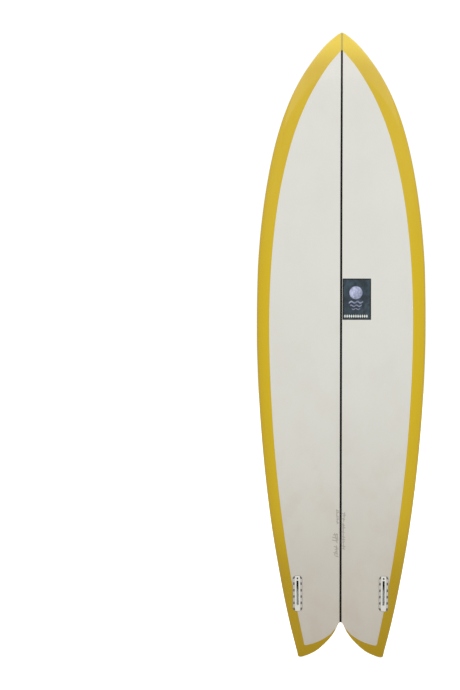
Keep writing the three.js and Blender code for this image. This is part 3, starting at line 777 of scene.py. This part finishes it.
def wood(name, dark, light, gloss=True):
    n = Nodes(name)
    g = n.noise(60, 5, 0.6, n.scaled((6, 1, 0.12)))
    f = n.noise(700, 3, 0.6, n.scaled((1, 1, 0.05)))
    c = n.ramp(g, (0.3, dark), (0.7, light))
    c = n.mix(n.math("MULTIPLY", n.step(f, 0.4, 0.7), 0.4), c, scale(dark, 0.7))
    n.set(Base_Color=c, Roughness=n.step(f, 0.3, 0.7, 0.35, 0.5), Coat_Weight=0.6 if gloss else 0.0, Coat_Roughness=0.09,
          Specular_IOR_Level=0.1 if gloss else 0.5,
          Normal=n.bump(f, 0.00003, 0.4))
    return n


def foam_material(name):
    n = Nodes(name)
    v = n.node("ShaderNodeTexVoronoi")
    n.put(v.inputs["Vector"], n.co)
    v.inputs["Scale"].default_value = 1400
    cells = v.outputs["Distance"]
    cloud = n.noise(8, 3)
    c = n.ramp(cloud, (0.3, lin(236, 232, 220)), (0.7, lin(244, 241, 232)))
    c = n.mix(n.math("MULTIPLY", n.step(cells, 0.25, 0.7), 0.3), c, lin(214, 209, 194))
    n.set(Base_Color=c, Roughness=n.step(cells, 0.1, 0.8, 0.8, 0.95), Normal=n.bump(cells, 0.0002, 0.6))
    return n


def cloth_material(name):
    n = Nodes(name)
    w = weave(n, 0.0016)
    c = n.ramp(n.math("MULTIPLY_ADD", w, 0.5, 0.5), (0.0, lin(205, 205, 196)), (1.0, lin(236, 236, 230)))
    c = n.mix(n.math("MULTIPLY", n.step(n.noise(30, 3), 0.4, 0.7), 0.3), c, lin(222, 219, 205))
    n.set(Base_Color=c, Roughness=n.step(w, -1, 1, 0.45, 0.7), Normal=n.bump(w, 0.0001, 0.6))
    return n


def plastic(name, base, rough=0.35, coat=0.3, vary=0.05):
    n = Nodes(name)
    cloud = n.noise(120, 4, 0.6)
    fine = n.noise(1600, 3, 0.6)
    c = n.ramp(cloud, (0.3, scale(base, 1 - vary)), (0.7, scale(base, 1 + vary)))
    c = n.mix(n.math("MULTIPLY", n.step(fine, 0.5, 0.75), 0.15), c, scale(base, 0.8))
    n.set(Base_Color=c, Roughness=n.step(fine, 0.3, 0.7, rough - 0.06, rough + 0.08), Coat_Weight=coat, Coat_Roughness=0.12,
          Normal=n.bump(fine, 0.00002, 0.4))
    return n


def slot_plastic_with_painted_shade(name):
    """The floor of the fin slot: clean at the heel, with painted shade darkening it towards its deep front part."""
    n = Nodes(name)
    fine = n.noise(1600, 3, 0.6)
    stain = n.noise(260, 4, 0.6)
    # painted shade: a dark grey fills in towards the front of the slot, with a noisy edge
    at = n.math("MULTIPLY_ADD", n.math("SUBTRACT", stain, 0.5), 0.006, n.xyz[2])
    c = n.ramp(stain, (0.3, lin(186, 192, 194)), (0.7, lin(206, 211, 212)))
    c = n.mix(n.step(at, (BOX_Z - 4) / 1000, (BOX_Z + 20) / 1000), c, lin(78, 84, 82))
    n.set(Base_Color=c, Roughness=n.step(fine, 0.3, 0.7, 0.34, 0.5), Coat_Weight=0.2, Coat_Roughness=0.15,
          Normal=n.bump(fine, 0.00002, 0.4))
    return n


def metal(name, base, rough=0.28):
    n = Nodes(name)
    s = n.noise(900, 4, 0.65, n.scaled((1, 1, 1)))
    stain = n.noise(160, 3)
    c = n.ramp(stain, (0.35, scale(base, 0.82)), (0.65, base))
    n.set(Base_Color=c, Metallic=1.0, Roughness=n.step(s, 0.3, 0.7, rough - 0.08, rough + 0.14), Normal=n.bump(s, 0.00002, 0.5))
    return n


def decal_material(name, x0, x1, z0, z1):
    n = Nodes(name)
    u = n.math("MULTIPLY_ADD", n.xyz[0], 1000.0, -x0)
    v = n.math("MULTIPLY_ADD", n.xyz[2], 1000.0, -z0)
    w, h = x1 - x0, z1 - z0
    brush = n.noise(70, 5, 0.62, n.scaled((1.0, 1.0, 0.55)), distort=0.6)
    glow = n.noise(24, 3, 0.5)
    c = n.ramp(brush, (0.32, lin(30, 42, 52)), (0.52, lin(44, 60, 73)), (0.74, lin(66, 90, 106)))
    c = n.mix(n.math("MULTIPLY", n.step(glow, 0.45, 0.68), 0.45), c, lin(62, 90, 108))
    # a pale disc over three swells
    cx, cy, r = 0.47 * w, 0.655 * h, 20.5
    dx, dy = n.math("SUBTRACT", u, cx), n.math("SUBTRACT", v, cy)
    dist = n.math("SQRT", n.math("ADD", n.math("MULTIPLY", dx, dx), n.math("MULTIPLY", dy, dy)))
    disc = n.step(dist, r - 0.5, r + 0.4, 1.0, 0.0)
    face = n.noise(150, 5, 0.6)
    pale = n.ramp(face, (0.32, lin(138, 144, 180)), (0.5, lin(180, 186, 224)), (0.7, lin(222, 226, 250)))
    shade_side = n.step(n.math("ADD", dx, n.math("MULTIPLY", dy, -0.8)), -18.0, 24.0)
    pale = n.mix(n.math("MULTIPLY", shade_side, 0.5), pale, lin(92, 98, 130))
    c = n.mix(disc, c, pale)
    for i, (vy, amp, length, thick, half) in enumerate(((0.425, 2.2, 19.0, 3.1, 24.0), (0.340, 2.0, 17.0, 2.7, 20.0),
                                                        (0.262, 1.7, 15.0, 2.2, 15.0))):
        wave = n.math("MULTIPLY", n.math("SINE", n.math("MULTIPLY_ADD", dx, 2 * math.pi / length, 0.9 * i)), amp)
        d = n.math("ABSOLUTE", n.math("SUBTRACT", n.math("SUBTRACT", v, vy * h), wave))
        inside = n.math("MULTIPLY", n.step(d, thick * 0.55, thick * 0.95, 1.0, 0.0),
                        n.step(n.math("ABSOLUTE", dx), half - 4, half, 1.0, 0.0))
        c = n.mix(n.math("MULTIPLY", inside, 0.95 - 0.1 * i), c, pale)
    # a row of small lozenges along the foot
    pitch = 6.9
    k = n.math("SUBTRACT", n.math("FRACT", n.math("MULTIPLY_ADD", n.math("SUBTRACT", u, 0.47 * w), 1 / pitch, 20.5)), 0.5)
    dia = n.math("ADD", n.math("MULTIPLY", n.math("ABSOLUTE", k), pitch), n.math("MULTIPLY", n.math("ABSOLUTE", n.math("SUBTRACT", v, 0.088 * h)), 0.52))
    row = n.math("MULTIPLY", n.step(dia, 2.5, 3.3, 1.0, 0.0), n.step(n.math("ABSOLUTE", n.math("SUBTRACT", u, 0.47 * w)), 37.0, 38.0, 1.0, 0.0))
    c = n.mix(n.math("MULTIPLY", row, 0.95), c, n.ramp(face, (0.35, lin(222, 228, 226)), (0.65, lin(246, 248, 244))))
    edge = n.math("MINIMUM", n.math("MINIMUM", u, n.math("SUBTRACT", w, u)), n.math("MINIMUM", v, n.math("SUBTRACT", h, v)))
    edge = n.math("MULTIPLY_ADD", n.math("SUBTRACT", brush, 0.5), 2.0, edge)
    c = n.mix(n.step(edge, 3.0, 4.6, 1.0, 0.0), c, n.ramp(face, (0.35, lin(15, 19, 22)), (0.65, lin(24, 29, 33))))
    n.set(Base_Color=c, Roughness=n.step(face, 0.3, 0.7, 0.30, 0.45), Coat_Weight=1.0, Coat_Roughness=0.09,
          Normal=n.bump(face, 0.00002, 0.3))
    return n


PENCIL = [
    (-25, 408, -12, 405), (-23, 416, -10, 417), (-26, 399, -13, 396), (-19, 421, -11, 390), (-12, 420, -9, 398),
    (-20, 378, -11, 374), (-17, 368, -8, 370), (-22, 358, -13, 355), (-13, 381, -11, 350), (-16, 347, -8, 344),
    (-19, 350, -15, 362), (-13.5, 496, -6.5, 494), (-12, 488, -6, 490), (-13, 478, -6.5, 474), (-11.5, 466, -6, 468),
    (-13, 459, -7, 455), (-12.5, 498, -10.5, 452),
    (5.5, 486, 13, 483), (7, 478, 14.5, 479), (6, 469, 12, 466), (12.5, 488, 9.5, 460), (7.5, 455, 8.5, 400),
    (6, 449, 12, 447), (6.5, 438, 13.5, 440), (5.5, 426, 11, 423), (9.5, 452, 8, 418), (6, 411, 13, 408),
    (6, 402, 13, 400), (7, 392, 12, 394), (5.5, 380, 14, 377), (7, 371, 12, 369), (8, 398, 10, 372),
]

mat_tint = tinted("tinted_resin", YELLOW)
# the tinted resin again, with painted shade on the down-facing faces of the notch's roll
mat_edge_painted_shade = tinted("tinted_edge_painted_shade", YELLOW, rolled=True)
mat_deck_line = tinted("tinted_resin_over_wood", YELLOW, line=lin(160, 145, 52))
mat_band_line = tinted("tinted_band_over_wood", lin(176, 156, 58))
mat_white = white_glass("clear_glass_over_foam")
mat_line = wood("dark_stringer_line", lin(5, 5, 7), lin(14, 13, 15))
mat_foam = foam_material("foam")
mat_wood = wood("stringer_wood", lin(92, 66, 40), lin(140, 106, 68), gloss=False)
mat_cloth = cloth_material("glass_cloth")
mat_decal = decal_material("decal_print", 4.4, 94.6, 1100.1, 1231.0)
mat_box = plastic("box_plastic", lin(250, 253, 250), 0.3, 0.5, 0.02)
mat_gutter = plastic("box_plastic_gutter", lin(214, 215, 212), 0.35, 0.5)
# painted shade: grey for the ring of shade on the flange's rounded edge, and a darker bluish grey for its heel
mat_rim_painted_shade = plastic("box_rim_painted_shade", lin(150, 148, 148), 0.35, 0.5)
mat_vent = plastic("box_vents", lin(118, 116, 116), 0.4, 0.4, 0.12)
mat_slot = slot_plastic_with_painted_shade("box_slot")
# painted shade: a near-black plastic stands for the shade deep in the front of the slot and in the mouth of the screw
# bore
mat_slot_deep_painted_shade = plastic("box_slot_deep_painted_shade", lin(42, 46, 45), 0.5, 0.1)
mat_heel_painted_shade = plastic("box_heel_painted_shade", lin(112, 106, 124), 0.35, 0.5)
mat_resin = plastic("resin_fill", lin(143, 141, 134), 0.35, 0.4)
mat_plug_resin = plastic("plug_resin", lin(222, 214, 172), 0.3, 0.6)
mat_black = plastic("plug_plastic", lin(22, 22, 26), 0.32, 0.3, 0.12)
# painted shade: the grub screw's steel is painted darker than bare steel to stand for the shade in its bore
mat_steel_painted_shade = metal("screw_steel", lin(92, 95, 98), 0.34)
mat_pin = metal("pin_steel", lin(172, 170, 160), 0.25)

# ------------------------------------------------------------------ board
outer = blank("outer_form")
outer = boolean(outer, tail_cutter("tail_tool", 0.0, rolled=True), "DIFFERENCE")
inner = blank("inner_form", SKIN, fine=False)
inner = boolean(inner, tail_cutter("tail_tool_in", SKIN, rolled=True), "DIFFERENCE")

lap_line = smooth_line(LAP[:30], 9.0)[:-1] + smooth_line(LAP[29:], 1.8)
lap_line[0] = [0.0, 2015.0]
lap = prism_xz("lap_form", mirrored(lap_line), -80, 260)
lap = boolean(lap, tail_cutter("tail_tool_lap", SKIN), "DIFFERENCE")
lap = boolean(lap, below_bottom("lap_depth", SKIN + 1.2), "INTERSECT")

FLANGE_L, FLANGE_W, FLANGE_R, FLANGE_T = 61.0, 15.75, 13.0, 2.2


def flange_hole(side):
    pts = rounded(-FLANGE_L, FLANGE_L, FLANGE_W, FLANGE_R, 16)
    return stack(f"flange_hole_{side}", [(pts, -6), (pts, 6)], box_matrix(side))


def plug_hole(name="plug_hole"):
    top = float(deck_y(PLUG_X, PLUG_Z)) + 0.3
    m = Matrix.Translation((PLUG_X / 1000, top / 1000, PLUG_Z / 1000))
    return lathe(name, [(0, -18.6), (14.3, -18.6), (14.3, 12), (0, 12)], 96, m)


DX0, DX1, DZ0, DZ1 = 4.4, 94.6, 1100.1, 1231.0
decal_pts = [(x + (DX0 + DX1) / 2, y) for x, y in rounded(DZ0, DZ1, (DX1 - DX0) / 2, 1.0, 6)]
decal_form = prism_xz("decal_form", decal_pts, -80, 40)
decal_form = boolean(decal_form, below_bottom("decal_depth", 0.35), "INTERSECT")

bottom = duplicate(outer, "bottom_glass")
boolean(bottom, lap, "INTERSECT", keep=True)
boolean(bottom, inner, "DIFFERENCE", keep=True)
boolean(bottom, decal_form, "DIFFERENCE", keep=True)
deck = duplicate(outer, "deck_glass")
boolean(deck, inner, "DIFFERENCE", keep=True)
boolean(deck, lap, "DIFFERENCE")
boolean(deck, plug_hole(), "DIFFERENCE")
for s in (-1, 1):
    boolean(bottom, flange_hole(s), "DIFFERENCE")
    boolean(deck, flange_hole(s), "DIFFERENCE")
card = duplicate(outer, "decal_card")
boolean(card, decal_form, "INTERSECT")
bpy.data.objects.remove(outer)


def paint(ob, mats, pick):
    """Gives the faces the materials that pick() numbers."""
    on_skin, P, fn, fc = shade(ob, skin=True)
    ob.data.materials.clear()
    for m in mats:
        ob.data.materials.append(m.m)
    ob.data.polygons.foreach_set("material_index", pick(on_skin, fn, fc).astype(np.int32))
    ob.data.update()


def pick_bottom(on_skin, fn, fc):
    return np.where(on_skin & (np.abs(fc[:, 0]) < 3.475), 1, 0)


def pick_deck(on_skin, fn, fc):
    mid = on_skin & (np.abs(fc[:, 0]) < 2.5)
    k = np.zeros(len(fc), int)
    k[mid & (fn[:, 1] > 0)] = 1
    k[mid & (fn[:, 1] < 0)] = 2
    wall = ~on_skin & (fc[:, 2] < 140)
    k[wall] = 3
    return k


paint(bottom, [mat_white, mat_line], pick_bottom)
paint(deck, [mat_tint, mat_deck_line, mat_band_line, mat_edge_painted_shade], pick_deck)
paint(card, [mat_decal], lambda s, n, c: np.zeros(len(c)))
for piece, node, slot in ((bottom, "bottom_laminate", "clear_laminate"), (deck, "deck_laminate", "tinted_laminate"),
                          (card, "decal", "decal_print")):
    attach(piece, "board")
    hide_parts(node)


# foam halves and the wooden stringer between them
def cuboid(name, x0, x1, y0, y1, z0, z1):
    return prism_xz(name, [(x0, z0), (x1, z0), (x1, z1), (x0, z1)], y0, y1)


def fin_pocket(side):
    a = rounded(-FLANGE_L, FLANGE_L, FLANGE_W, FLANGE_R, 10)
    b = rounded(-56.3, 59.3, 14.7, 13.3, 10)
    p = stack("pocket_a", [(a, -2.5), (a, 6)], box_matrix(side))
    q = stack("pocket_b", [(b, -18.7), (b, 0)], box_matrix(side))
    return boolean(p, q, "UNION")


boolean(inner, plug_hole("plug_hole_foam"), "DIFFERENCE")
for s in (-1, 1):
    boolean(inner, fin_pocket(s), "DIFFERENCE")
for name, x0, x1, node, slot, mat in (("foam_left", -330, -3.175, "foam_core_left", "foam", mat_foam),
                                      ("foam_right", 3.175, 330, "foam_core_right", "foam", mat_foam),
                                      ("stringer_strip", -3.175, 3.175, "stringer", "stringer_wood", mat_wood)):
    o = duplicate(inner, name)
    boolean(o, cuboid("half", x0, x1, -80, 260, -40, 2120), "INTERSECT")
    shade(o)
    o.data.materials.clear()
    o.data.materials.append(mat.m)
    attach(o, "board")
    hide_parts(node)
bpy.data.objects.remove(inner)

# ------------------------------------------------------------------ fin boxes
TILT = math.radians(40)
SCREW_DIR = Vector((0, -math.sin(TILT), -math.cos(TILT)))
MOUTH = Vector((0, 51, 0))
VENTS = [(-52.6, 1), (-32.5, 0), (-10.9, 0), (10.6, 0), (33.1, 0), (53.2, 1)]


def finish_box(ob, matrix):
    """Materials by place, then into the board."""
    on, P, fn, fc = shade(ob, crease=32)
    ob.data.materials.clear()
    for m in (mat_box, mat_gutter, mat_vent, mat_slot, mat_slot_deep_painted_shade, mat_heel_painted_shade, mat_rim_painted_shade):
        ob.data.materials.append(m.m)
    x, y, z = np.abs(fc[:, 0]), fc[:, 1], fc[:, 2]
    k = np.zeros(len(fc), int)
    k[(x > 8.3) & (z > -1.0)] = 1
    k[(x > 8.3) & (z < -0.75) & (z > -2.1) & (x < 15.2)] = 2
    # the slot floor takes the material with painted shade towards its front; the deep front part and the bore's mouth
    # are painted near-black as shade
    k[(x < 3.3) & (z < -0.6) & (y > -40.5) & (y < 43.5)] = 3
    k[(x < 3.3) & (z < -1.0) & (y > 18.4) & (y < 43.5)] = 4
    k[(x < 3.0) & (z < -0.5) & (y > 43.5)] = 4
    # painted shade: the rounded edge of the flange is painted as a darker grey ring, darker and bluer at its heel
    core = np.maximum(np.abs(y) - (FLANGE_L - FLANGE_R), 0)
    reach = np.hypot(np.maximum(x - (FLANGE_W - FLANGE_R), 0), core) - FLANGE_R
    rim_shade_ring = (reach > -1.25) & (z > -0.7) & (z < -0.005)
    k[rim_shade_ring] = np.where(y[rim_shade_ring] < -46.0, 5, 6)
    ob.data.polygons.foreach_set("material_index", k.astype(np.int32))
    ob.data.transform(matrix)
    ob.data.update()


def fin_box(side, name):
    L1, W1, R1 = FLANGE_L, FLANGE_W, FLANGE_R
    layers = [(rounded(-L1, L1, W1, R1, 16), -FLANGE_T), (rounded(-L1, L1, W1, R1, 16), -0.65)]
    for dz, ins in ((-0.42, 0.08), (-0.22, 0.28), (-0.09, 0.58), (-0.02, 0.9), (0.0, 1.2)):
        layers.append((rounded(-L1 + ins, L1 - ins, W1 - ins, R1 - ins, 16), dz))
    ob = stack(name, layers)
    # gutters either side of the middle rib
    for s in (-1, 1):
        g = [(px + s * 11.7, py) for px, py in rounded(-52.5, 52.5, 3.1, 3.0, 10)]
        g2 = [(px + s * 11.7, py) for px, py in rounded(-52.9, 52.9, 3.5, 3.4, 10)]
        boolean(ob, stack("gutter", [(g, -0.35), (g2, 0.05), (g2, 1.0)]), "DIFFERENCE")
    b = BODY = rounded(-52, 57, 8.2, 8.1, 12)
    boolean(ob, stack("body", [(BODY, -16.5), (BODY, -0.5)]), "UNION")
    # stepped fin slot with a softened mouth
    def slot_tool(y0, y1, depth):
        a = rounded(y0, y1, 3.1, 1.2, 8)
        c1 = rounded(y0 - 0.25, y1 + 0.25, 3.35, 1.4, 8)
        c2 = rounded(y0 - 0.7, y1 + 0.7, 3.8, 1.8, 8)
        return stack("slot", [(a, -depth), (a, -0.7), (c1, -0.25), (c2, 0.0), (c2, 1.0)])
    boolean(ob, slot_tool(18.5, 43, 14.2), "DIFFERENCE")
    boolean(ob, slot_tool(-40, 21.5, 11.0), "DIFFERENCE")
    for s in (-1, 1):
        for y, end in VENTS:
            x = 10.8 if end else 11.7
            lean = -math.copysign(1, y) * s * 0.38 if end else 0.0
            v1 = rounded(-4.1, 4.1, 1.9, 1.5, 6)
            v2 = rounded(-4.6, 4.6, 2.3, 1.8, 6)
            m = Matrix.Translation((s * x / 1000, y / 1000, 0)) @ Matrix.Rotation(-lean, 4, "Z")
            boolean(ob, stack("vent", [(v1, -1.75), (v2, -0.9), (v2, 1.0)], m), "DIFFERENCE")
    a, b2 = MOUTH + SCREW_DIR * -5, MOUTH + SCREW_DIR * 15
    boolean(ob, tube("bore", a, b2, 2.6, 40), "DIFFERENCE")
    finish_box(ob, box_matrix(side))
    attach(ob, "board")
    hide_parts("fin_box_left" if side < 0 else "fin_box_right")
    return ob


def grub_screw(side, name):
    length, r, pitch = 8.3, 2.25, 0.8
    seg, rows = 40, 100
    verts, faces = [], []
    for i in range(rows + 1):
        s = length * i / rows
        for j in range(seg):
            ph = (s / pitch - j / seg) % 1.0
            h = 1 - abs(2 * ph - 1)
            rr = r - 0.42 + 0.42 * min(1.0, 1.15 * h)
            rr = min(rr, r - 0.55 + s * 0.9, r - 0.35 + (length - s) * 0.9)
            f = 2 * math.pi * j / seg
            verts.append((rr * math.sin(f) / 1000, s / 1000, rr * math.cos(f) / 1000))
    for i in range(rows):
        for j in range(seg):
            a, b = i * seg + j, i * seg + (j + 1) % seg
            faces.append((a, b, b + seg, a + seg))
    faces.append(tuple(range(seg - 1, -1, -1)))
    faces.append(tuple(range(rows * seg, (rows + 1) * seg)))
    ob = orient(new_object(name, verts, faces))
    hexes = []
    for s, k in ((length - 3.0, 1.0), (length - 0.25, 1.0), (length + 0.05, 1.2), (length + 1.0, 1.2)):
        hexes.append([(1.45 * k * math.sin(math.pi / 3 * i) / 1000, s / 1000, 1.45 * k * math.cos(math.pi / 3 * i) / 1000)
                      for i in range(6)])
    hv = [v for h in hexes for v in h]
    hf = [tuple(range(5, -1, -1)), tuple(range(18, 24))]
    for i in range(3):
        for j in range(6):
            a, b = i * 6 + j, i * 6 + (j + 1) % 6
            hf.append((a, b, b + 6, a + 6))
    boolean(ob, orient(new_object("hex", hv, hf)), "DIFFERENCE")
    end = MOUTH + SCREW_DIR * (1.2 + length)
    q = Vector((0, 1, 0)).rotation_difference(-SCREW_DIR).to_matrix().to_4x4()
    ob.data.transform(box_matrix(side) @ Matrix.Translation(end / 1000) @ q)
    shade(ob, crease=40)
    ob.data.materials.clear()
    ob.data.materials.append(mat_steel_painted_shade.m)
    body = "screw_left" if side < 0 else "screw_right"
    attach(ob, body)
    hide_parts("fin_" + body)
    return ob


for s, side_name in ((-1, "left"), (1, "right")):
    fin_box(s, f"fin_box_{side_name}_detailed")
    grub_screw(s, f"grub_screw_{side_name}")

# ------------------------------------------------------------------ leash plug
plug_top = float(deck_y(PLUG_X, PLUG_Z)) + 0.3
PM = Matrix.Translation((PLUG_X / 1000, plug_top / 1000, PLUG_Z / 1000))
ring = lathe("plug_ring", [(0, -18.6), (14.3, -18.6), (14.3, -0.55), (14.15, -0.36), (13.9, -0.3), (12.45, -0.3),
                           (12.45, -17.05), (0, -17.05)], 128, PM)
cup = lathe("plug_cup", [(0, -17), (12.4, -17), (12.4, -0.62), (12.3, -0.3), (12.05, -0.08), (11.7, 0.0), (10.6, 0.0),
                         (10.2, -0.07), (9.9, -0.28), (9.7, -0.7), (9.7, -13.6), (9.45, -14.4), (8.9, -14.85),
                         (8.1, -15), (0, -15)], 128)
D = math.sqrt(0.5)                 # the pin crosses the cup diagonally
for k in range(12):
    f = 2 * math.pi * (k + 0.5) / 12
    # narrow ribs moulded down the wall of the cup
    rib = tube("rib", (9.85 * math.sin(f), -14.2, 9.85 * math.cos(f)), (9.85 * math.sin(f), -2.2, 9.85 * math.cos(f)), 0.55, 16)
    boolean(cup, rib, "UNION")
boolean(cup, tube("pin_hole", (-11.5 * D, -6.6, -11.5 * D), (11.5 * D, -6.6, 11.5 * D), 2.05, 40), "DIFFERENCE")
cup.data.transform(PM)
pin = tube("plug_pin", (-11.2 * D, -6.6, -11.2 * D), (11.2 * D, -6.6, 11.2 * D), 2.0, 48)
pin.data.transform(PM)
for o, node, slot, mat in ((ring, "leash_plug_ring", "plug_resin", mat_plug_resin), (cup, "leash_plug_cup", "plug_plastic", mat_black),
                           (pin, "leash_plug_pin", "screw_steel", mat_pin)):
    orient(o)
    shade(o, crease=35)
    o.data.materials.clear()
    o.data.materials.append(mat.m)
    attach(o, "board")
    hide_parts(node)

# ------------------------------------------------------------------ pieces that stay as they are
for node, mat in (("deck_patch", mat_cloth), ("fin_patch_left", mat_cloth), ("fin_patch_right", mat_cloth),
                  ("fin_box_bond_left", mat_resin), ("fin_box_bond_right", mat_resin)):
    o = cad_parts[node]
    o.data.materials.clear()
    o.data.materials.append(mat.m)

# ------------------------------------------------------------------ stage and light
floor = new_object("floor", [(-9, -9, -0.002), (9, -9, -0.002), (9, 9, -0.002), (-9, 9, -0.002)], [(0, 1, 2, 3)])
fm = bpy.data.materials.new("floor")
fm.use_nodes = True
ft = fm.node_tree
fb = ft.nodes["Principled BSDF"]
fb.inputs["Base Color"].default_value = (0.86, 0.86, 0.86, 1)
fb.inputs["Roughness"].default_value = 0.9
fb.inputs["Specular IOR Level"].default_value = 0.1
fe = ft.nodes.new("ShaderNodeEmission")
fe.inputs["Strength"].default_value = 0.70
fp = ft.nodes.new("ShaderNodeLightPath")
fx = ft.nodes.new("ShaderNodeMixShader")
fa = ft.nodes.new("ShaderNodeAddShader")
ft.links.new(fb.outputs[0], fa.inputs[0])
ft.links.new(fe.outputs[0], fa.inputs[1])
ft.links.new(fp.outputs["Is Camera Ray"], fx.inputs[0])
fd = ft.nodes.new("ShaderNodeBsdfDiffuse")
fd.inputs["Color"].default_value = (0.50, 0.47, 0.42, 1)
ft.links.new(fd.outputs[0], fx.inputs[1])
ft.links.new(fa.outputs[0], fx.inputs[2])
ft.links.new(fx.outputs[0], ft.nodes["Material Output"].inputs["Surface"])
floor.data.materials.append(fm)

world = bpy.data.worlds.new("world")
scene.world = world
world.use_nodes = True
wt = world.node_tree
wt.nodes.clear()
wo = wt.nodes.new("ShaderNodeOutputWorld")
w1 = wt.nodes.new("ShaderNodeBackground")
w1.inputs["Color"].default_value = (1.0, 0.92, 0.86, 1)
w1.inputs["Strength"].default_value = 0.75
w2 = wt.nodes.new("ShaderNodeBackground")
w2.inputs["Color"].default_value = (1, 1, 1, 1)
w2.inputs["Strength"].default_value = 1.05
# the room that the gloss coat mirrors is darker than the light it gets
w3 = wt.nodes.new("ShaderNodeBackground")
w3.inputs["Color"].default_value = (1.0, 0.95, 0.90, 1)
w3.inputs["Strength"].default_value = 0.30
wl = wt.nodes.new("ShaderNodeLightPath")
wg = wt.nodes.new("ShaderNodeMixShader")
wt.links.new(wl.outputs["Is Glossy Ray"], wg.inputs[0])
wt.links.new(w1.outputs[0], wg.inputs[1])
wt.links.new(w3.outputs[0], wg.inputs[2])
wx = wt.nodes.new("ShaderNodeMixShader")
wt.links.new(wl.outputs["Is Camera Ray"], wx.inputs[0])
wt.links.new(wg.outputs[0], wx.inputs[1])
wt.links.new(w2.outputs[0], wx.inputs[2])
wt.links.new(wx.outputs[0], wo.inputs["Surface"])


def area(name, at, to, size, energy, colour=(1, 1, 1)):
    d = bpy.data.lights.new(name, "AREA")
    d.shape = "RECTANGLE"
    d.size, d.size_y = size
    d.energy = energy
    d.color = colour
    o = bpy.data.objects.new(name, d)
    scene.collection.objects.link(o)
    at, to = Vector(at), Vector(to)
    o.matrix_world = Matrix.Translation(at) @ (to - at).to_track_quat("-Z", "Y").to_matrix().to_4x4()
    return o


def spot(name, at, to, energy, half_angle, blend, radius, colour):
    d = bpy.data.lights.new(name, "SPOT")
    d.energy, d.color, d.shadow_soft_size = energy, colour, radius
    d.spot_size, d.spot_blend = math.radians(2 * half_angle), blend
    o = bpy.data.objects.new(name, d)
    scene.collection.objects.link(o)
    at, to = Vector(at), Vector(to)
    o.matrix_world = Matrix.Translation(at) @ (to - at).to_track_quat("-Z", "Y").to_matrix().to_4x4()
    o.visible_glossy = False
    return o


spot("key", (0.9, -6, 1.9), (0, 0, 1.31), 567, 14, 0.75, 0.8, (0.80, 0.96, 1.0))
spot("key_back", (-0.9, 6, 1.9), (0, 0, 1.31), 567, 14, 0.75, 0.8, (0.80, 0.96, 1.0))
area("top", (0, 0, 4.8), (0, 0, 1.0), (4.5, 4.5), 46)

scene.view_settings.view_transform = "Standard"
scene.view_settings.look = "None"
scene.view_settings.exposure = 0.0
scene.view_settings.gamma = 1.0

bpy.context.view_layer.update()
